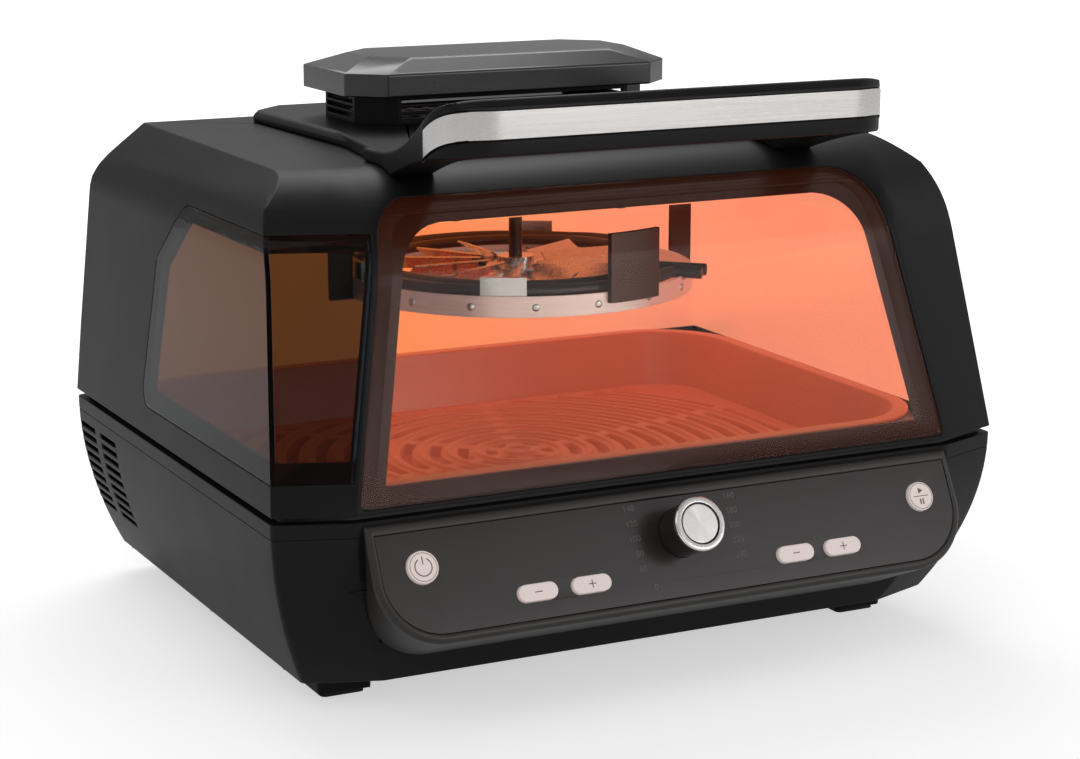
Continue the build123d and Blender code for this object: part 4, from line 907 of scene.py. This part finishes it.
def pane_border(node, width):
    """The dark print on the inner face of the front glass: a band at each side and across the top."""
    tree = tree_of(node)
    eye = Vector((0, -0.06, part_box(node)[0][2] + 0.0005))
    rows = []
    for step in range(1, 180):
        turn = math.radians(step / 2)
        look = Vector((0, -math.cos(turn), math.sin(turn)))
        spot, normal, _, _ = tree.ray_cast(eye, look)
        if spot is None:
            break
        side = tree.ray_cast(spot + look * 0.0005, Vector((1, 0, 0)))[0]
        if side is not None:
            rows.append((spot + normal * PRINT_OFF, side.x - PRINT_OFF))
    below = [row for row in rows if row[0].z < PRINT_TOP]
    above = rows[len(below):]
    (lower, lower_half), (upper, upper_half) = below[-1], above[0]
    share = (PRINT_TOP - lower.z) / (upper.z - lower.z)
    edge_row = (lower.lerp(upper, share), lower_half + share * (upper_half - lower_half))
    bm = bmesh.new()

    def band(courses):
        """Faces between courses of points, each course from one side to the other."""
        grid = [[bm.verts.new((x, spot.y, spot.z)) for x in xs] for spot, xs in courses]
        for under, over in zip(grid, grid[1:]):
            for left, right in zip(range(len(under)), range(1, len(under))):
                bm.faces.new((under[left], under[right], over[right], over[left]))

    def side_course(spot, half, side):
        """Points at a row from the pane's edge to the clear window, whose upper corners are round."""
        rise = max(0.0, spot.z - (PRINT_TOP - PRINT_CORNER))
        reach = math.sqrt(max(0.0, PRINT_CORNER * PRINT_CORNER - rise * rise))
        clear = half - width - PRINT_CORNER + reach
        return spot, [side * (half + (clear - half) * part / 4) for part in range(5)]

    for side in (-1, 1):
        band([side_course(spot, half, side) for spot, half in below + [edge_row]])
    band([(spot, [half * (part / 6 - 1) for part in range(13)]) for spot, half in [edge_row] + above])
    bmesh.ops.recalc_face_normals(bm, faces=bm.faces)
    return link(bpy.data.objects.new("window_border", mesh_of(bm, "window_border")))


def seen_rays(tree, mirrored):
    """How white the surroundings are: wholly to the camera and through glass, less in reflections."""
    path = place(tree, "ShaderNodeLightPath")
    gloss = maths(tree, "MULTIPLY", path.outputs["Is Glossy Ray"], mirrored)
    seen = maths(tree, "MAXIMUM", path.outputs["Is Camera Ray"], path.outputs["Is Transmission Ray"])
    return maths(tree, "MAXIMUM", seen, gloss)


# Look of the oven

class OvenLook(bpy.types.PropertyGroup):
    """Sizes and colours of the oven that a user may change."""

    shell_colour: bpy.props.FloatVectorProperty(
        name="Shell colour",
        description="Colour of the moulded housing",
        subtype="COLOR",
        size=3,
        min=0,
        max=1,
        default=(0.0095, 0.009, 0.0092),
    )
    shell_roughness: bpy.props.FloatProperty(
        name="Shell roughness",
        description="Roughness of the moulded housing",
        subtype="FACTOR",
        min=0,
        max=1,
        default=0.42,
    )
    pot_colour: bpy.props.FloatVectorProperty(
        name="Coating colour",
        description="Colour of the pot's and grill plate's coating",
        subtype="COLOR",
        size=3,
        min=0,
        max=1,
        default=(0.42, 0.12, 0.06),
    )
    strip_colour: bpy.props.FloatVectorProperty(
        name="Strip colour",
        description="Colour of the brushed metal on the handle and the dial",
        subtype="COLOR",
        size=3,
        min=0,
        max=1,
        default=(0.72, 0.70, 0.685),
    )
    button_colour: bpy.props.FloatVectorProperty(
        name="Button colour",
        description="Colour of the push buttons",
        subtype="COLOR",
        size=3,
        min=0,
        max=1,
        default=(0.92, 0.79, 0.75),
    )
    smoke_colour: bpy.props.FloatVectorProperty(
        name="Smoked glass colour",
        description="Tint of the side window",
        subtype="COLOR",
        size=3,
        min=0,
        max=1,
        default=(0.1, 0.125, 0.14),
    )
    # The lining's painted glow: its colour at the left and at the right, and its strength.
    glow_near: bpy.props.FloatVectorProperty(
        name="Glow at the left",
        description="Colour of the heat on the lining at its left",
        subtype="COLOR",
        size=3,
        min=0,
        max=1,
        default=(1.0, 0.28, 0.055),
    )
    glow_far: bpy.props.FloatVectorProperty(
        name="Glow at the right",
        description="Colour of the heat on the lining at its right",
        subtype="COLOR",
        size=3,
        min=0,
        max=1,
        default=(1.0, 0.30, 0.17),
    )
    glow_strength: bpy.props.FloatProperty(
        name="Glow strength",
        description="How strongly the lining glows",
        min=0,
        max=5,
        default=1.02,
    )
    # The pot's painted glow: its colour and strength.
    glow_pot: bpy.props.FloatVectorProperty(
        name="Glow of the pot",
        description="Colour of the heat on the pot and the grill plate",
        subtype="COLOR",
        size=3,
        min=0,
        max=1,
        default=(1.0, 0.16, 0.035),
    )
    pot_glow_strength: bpy.props.FloatProperty(
        name="Pot glow strength",
        description="How strongly the pot and the grill plate glow",
        min=0,
        max=5,
        default=0.16,
    )
    # The hot edge colour is a painted glow along the rims of the pot and the grill plate.
    glow_edge: bpy.props.FloatVectorProperty(
        name="Hot edge colour",
        description="Colour of the edges of the pot and the grill plate",
        subtype="COLOR",
        size=3,
        min=0,
        max=1,
        default=(0.9, 0.30, 0.12),
    )
    edge_round: bpy.props.FloatProperty(
        name="Edge rounding",
        description="Width of the small rounding on moulded edges",
        subtype="DISTANCE",
        unit="LENGTH",
        min=0,
        max=0.002,
        default=0.0008,
    )
    border_width: bpy.props.FloatProperty(
        name="Window border",
        description="Width of the dark printed border on the front glass",
        subtype="DISTANCE",
        unit="LENGTH",
        min=0,
        max=0.05,
        default=0.0145,
    )


class OVEN_OT_stage(bpy.types.Operator):
    """Make the floor, the light and the camera"""

    bl_idname = "oven.stage"
    bl_label = "Stage"

    def execute(self, context):
        scene = context.scene
        scene.view_settings.view_transform = "Standard"
        world = bpy.data.worlds.new("Pale Studio")
        scene.world = world
        world.use_nodes = True
        tree = world.node_tree
        tree.nodes.clear()
        strength = mapped(tree, seen_rays(tree, WORLD_MIRRORED), (0.0, 1.0, *WORLD_STRENGTH))
        sky = place(tree, "ShaderNodeBackground", {"Color": WHITE, "Strength": strength})
        place(tree, "ShaderNodeOutputWorld", {"Surface": sky.outputs[0]})

        mesh = bpy.data.meshes.new("floor")
        corners = [(x * FLOOR_HALF, y * FLOOR_HALF, 0) for x, y in ((-1, -1), (1, -1), (1, 1), (-1, 1))]
        mesh.from_pydata(corners, [], [(0, 1, 2, 3)])
        floor = link(bpy.data.objects.new("floor", mesh))
        material, tree, out = blank_material("Pale Floor")
        matt = place(tree, "ShaderNodeBsdfDiffuse", {"Color": (0.86, 0.86, 0.86, 1)})
        apart = vectors(tree, "LENGTH", own_place(tree), result="Value")
        lift = maths(tree, "MULTIPLY", seen_rays(tree, FLOOR_MIRRORED), mapped(tree, apart, FLOOR_LIGHT))
        own = place(tree, "ShaderNodeEmission", {"Color": WHITE, "Strength": lift})
        both = place(tree, "ShaderNodeAddShader", {0: matt.outputs[0], 1: own.outputs[0]})
        tree.links.new(both.outputs[0], out.inputs["Surface"])
        mesh.materials.append(material)

        for name, (spot, width, height, power) in LAMPS.items():
            lamp = bpy.data.lights.new(name, "AREA")
            lamp.shape = "RECTANGLE"
            lamp.size = width
            lamp.size_y = height
            lamp.energy = power
            holder = link(bpy.data.objects.new(name, lamp))
            holder.location = spot
            holder.rotation_euler = (LAMP_AIM - Vector(spot)).to_track_quat("-Z", "Y").to_euler()

        camera = bpy.data.cameras.new("camera")
        camera.lens = CAMERA_LENS
        camera.sensor_width = 36.0
        holder = link(bpy.data.objects.new("camera", camera))
        holder.location = CAMERA_PLACE
        holder.rotation_euler = CAMERA_LOOK.to_track_quat("-Z", "Y").to_euler()
        scene.camera = holder
        return {"FINISHED"}


class OVEN_OT_base(bpy.types.Operator):
    """Dress the base, its feet and its underside"""

    bl_idname = "oven.base"
    bl_label = "Base"

    def execute(self, context):
        soften_all(
            {
                "base_shell": 1,
                "base_rim": 1 / 2,
                "control_housing": 1,
                "feet": 1,
                "bottom_plate": 1 / 2,
                "wiring_cover": 1,
                "cord_bush": 1 / 2,
                "lid_lugs": 1,
            }
        )
        paint("foot_pads", "bottom_screws", "hinge_brackets", "hinge_pins")
        paint("power_board", "board_pillars")
        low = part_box("hinge_brackets")[0][2]
        hinge_screws("base_hinge_screws", "hinge_brackets", "base", low + SCREW_EDGE)
        return {"FINISHED"}


class OVEN_OT_panel(bpy.types.Operator):
    """Dress the control panel with its buttons and dial"""

    bl_idname = "oven.panel"
    bl_label = "Control panel"

    def execute(self, context):
        soften_all({"fascia": 1 / 3, "knob_sleeve": 1, "knob_ring": 1 / 4, "knob_disc": 1 / 4})
        soften_all({node: 0 for node in NODES if "button" in node})
        numbers = []
        for row in range(NUMBER_ROWS):
            drop = DIAL_DROP + (row - NUMBER_ROWS // 2) * NUMBER_STEP
            for across, align, first, step in NUMBER_SIDES:
                spot = panel_frame(across, drop, FASCIA_OUT)
                numbers.append(lettering(str(first + step * row), align, spot))
        numbers.append(lettering("0", "CENTER", panel_frame(*ZERO_PLACE, FASCIA_OUT)))
        dress(joined("dial_numbers", numbers), "base", "trim", finish="print")

        power = arc_band(*POWER_ARC) + arc_band(*POWER_EDGE) + [bar(-0.00028, 0.0014, 0.00028, 0.0056)]
        signed("power_sign", "power_button", power, *POWER_PLACE)
        start = [bar(-0.0048, -0.0002, 0.0048, 0.0002)]
        start += [[(-0.0012, 0.0014), (0.0018, 0.0031), (-0.0012, 0.0048)]]
        start += arc_band(*START_EDGE)
        start += [bar(-0.0013, -0.0047, -0.0004, -0.0015), bar(0.0004, -0.0047, 0.0013, -0.0015)]
        signed("start_sign", "start_button", start, *START_PLACE)
        for count, across in enumerate(PILL_XS):
            sign = [bar(-0.0022, -LINE_HALF, 0.0022, LINE_HALF)]
            if count % 2:
                sign += [bar(-LINE_HALF, LINE_HALF, LINE_HALF, 0.0022)]
                sign += [bar(-LINE_HALF, -0.0022, LINE_HALF, -LINE_HALF)]
            button = "menu_button_" + str(count + 1)
            signed(button + "_sign", button, sign, across, PILL_DROP)
        paint("control_board", "switches", "encoder", "dial_shaft")
        return {"FINISHED"}


class OVEN_OT_lid(bpy.types.Operator):
    """Dress the lid's shell, glass, frames and hinges"""

    bl_idname = "oven.lid"
    bl_label = "Lid"

    def execute(self, context):
        soften_all(
            {
                "lid_shell": 1,
                "front_frame": 0,
                "side_frame": 0,
                "front_glass": 1 / 2,
                "side_glass": 1 / 2,
                "lid_liner": 0,
                "lid_ring_plate": 0,
                "lid_seal": 0,
            }
        )
        border = pane_border("front_glass", context.scene.oven_look.border_width)
        dress(border, "lid", "fascia", finish="border")
        paint("hinge_arms")
        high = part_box("hinge_arms")[1][2]
        hinge_screws("lid_hinge_screws", "hinge_arms", "lid", high - SCREW_EDGE)
        return {"FINISHED"}


class OVEN_OT_crown(bpy.types.Operator):
    """Dress the top deck, the handle and the vent stack"""

    bl_idname = "oven.crown"
    bl_label = "Handle and vent stack"

    def execute(self, context):
        soften_all({"top_deck": 2, "handle_strip": 1 / 3, "cap_neck": 1 / 2, "cap_cover": 1.5})
        paint("vent_filter")
        return {"FINISHED"}


class OVEN_OT_hearth(bpy.types.Operator):
    """Dress the pot, the grill plate, the heater and the fans"""

    bl_idname = "oven.hearth"
    bl_label = "Pot, grill and heater"

    def execute(self, context):
        soften_all(
            {
                "cooking_pot": 1,
                "grill_plate": 1,
                "heat_well": 0,
                "heater_element": 0,
                "reflector_ring": 1 / 4,
                "element_clips": 1 / 4,
                "fan_guard": 0,
                "terminal_plate": 1 / 4,
                "heater_hangers": 1 / 4,
                "convection_fan": 1 / 4,
            }
        )
        repeated(
            "ring_rivets",
            dome(0.0022, 0.0009, "zxy"),
            ring_group(),
            "lid",
            "clip",
            Count=RIVETS,
            Radius=RING_RADIUS,
            Centre=RING_CENTRE,
            Turn=RIVET_TURN,
        )
        soften_all({"fan_shaft": 0})
        paint("fan_nut", "cooling_fan", "motor", "motor_bracket")
        return {"FINISHED"}


class OVEN_PT_panel(bpy.types.Panel):
    """The oven's pieces, in the sidebar"""

    bl_idname = "OVEN_PT_panel"
    bl_label = "Air fryer oven"
    bl_space_type = "VIEW_3D"
    bl_region_type = "UI"
    bl_category = "Oven"

    def draw(self, context):
        look = context.scene.oven_look
        for name in OvenLook.__annotations__:
            self.layout.prop(look, name)
        for operator in OPERATORS:
            self.layout.operator(operator.bl_idname)


OPERATORS = (OVEN_OT_stage, OVEN_OT_base, OVEN_OT_panel, OVEN_OT_lid, OVEN_OT_crown, OVEN_OT_hearth)


def register():
    """Register the classes and the scene's look."""
    bpy.utils.register_class(OvenLook)
    for operator in OPERATORS:
        bpy.utils.register_class(operator)
    bpy.utils.register_class(OVEN_PT_panel)
    bpy.types.Scene.oven_look = bpy.props.PointerProperty(type=OvenLook)


def unregister():
    """Take the look and the classes away again."""
    del bpy.types.Scene.oven_look
    bpy.utils.unregister_class(OVEN_PT_panel)
    for operator in reversed(OPERATORS):
        bpy.utils.unregister_class(operator)
    bpy.utils.unregister_class(OvenLook)


def main():
    """Make the whole scene."""
    register()
    for operator in OPERATORS:
        group, name = operator.bl_idname.split(".")
        getattr(getattr(bpy.ops, group), name)()


if __name__ == "__main__":
    main()
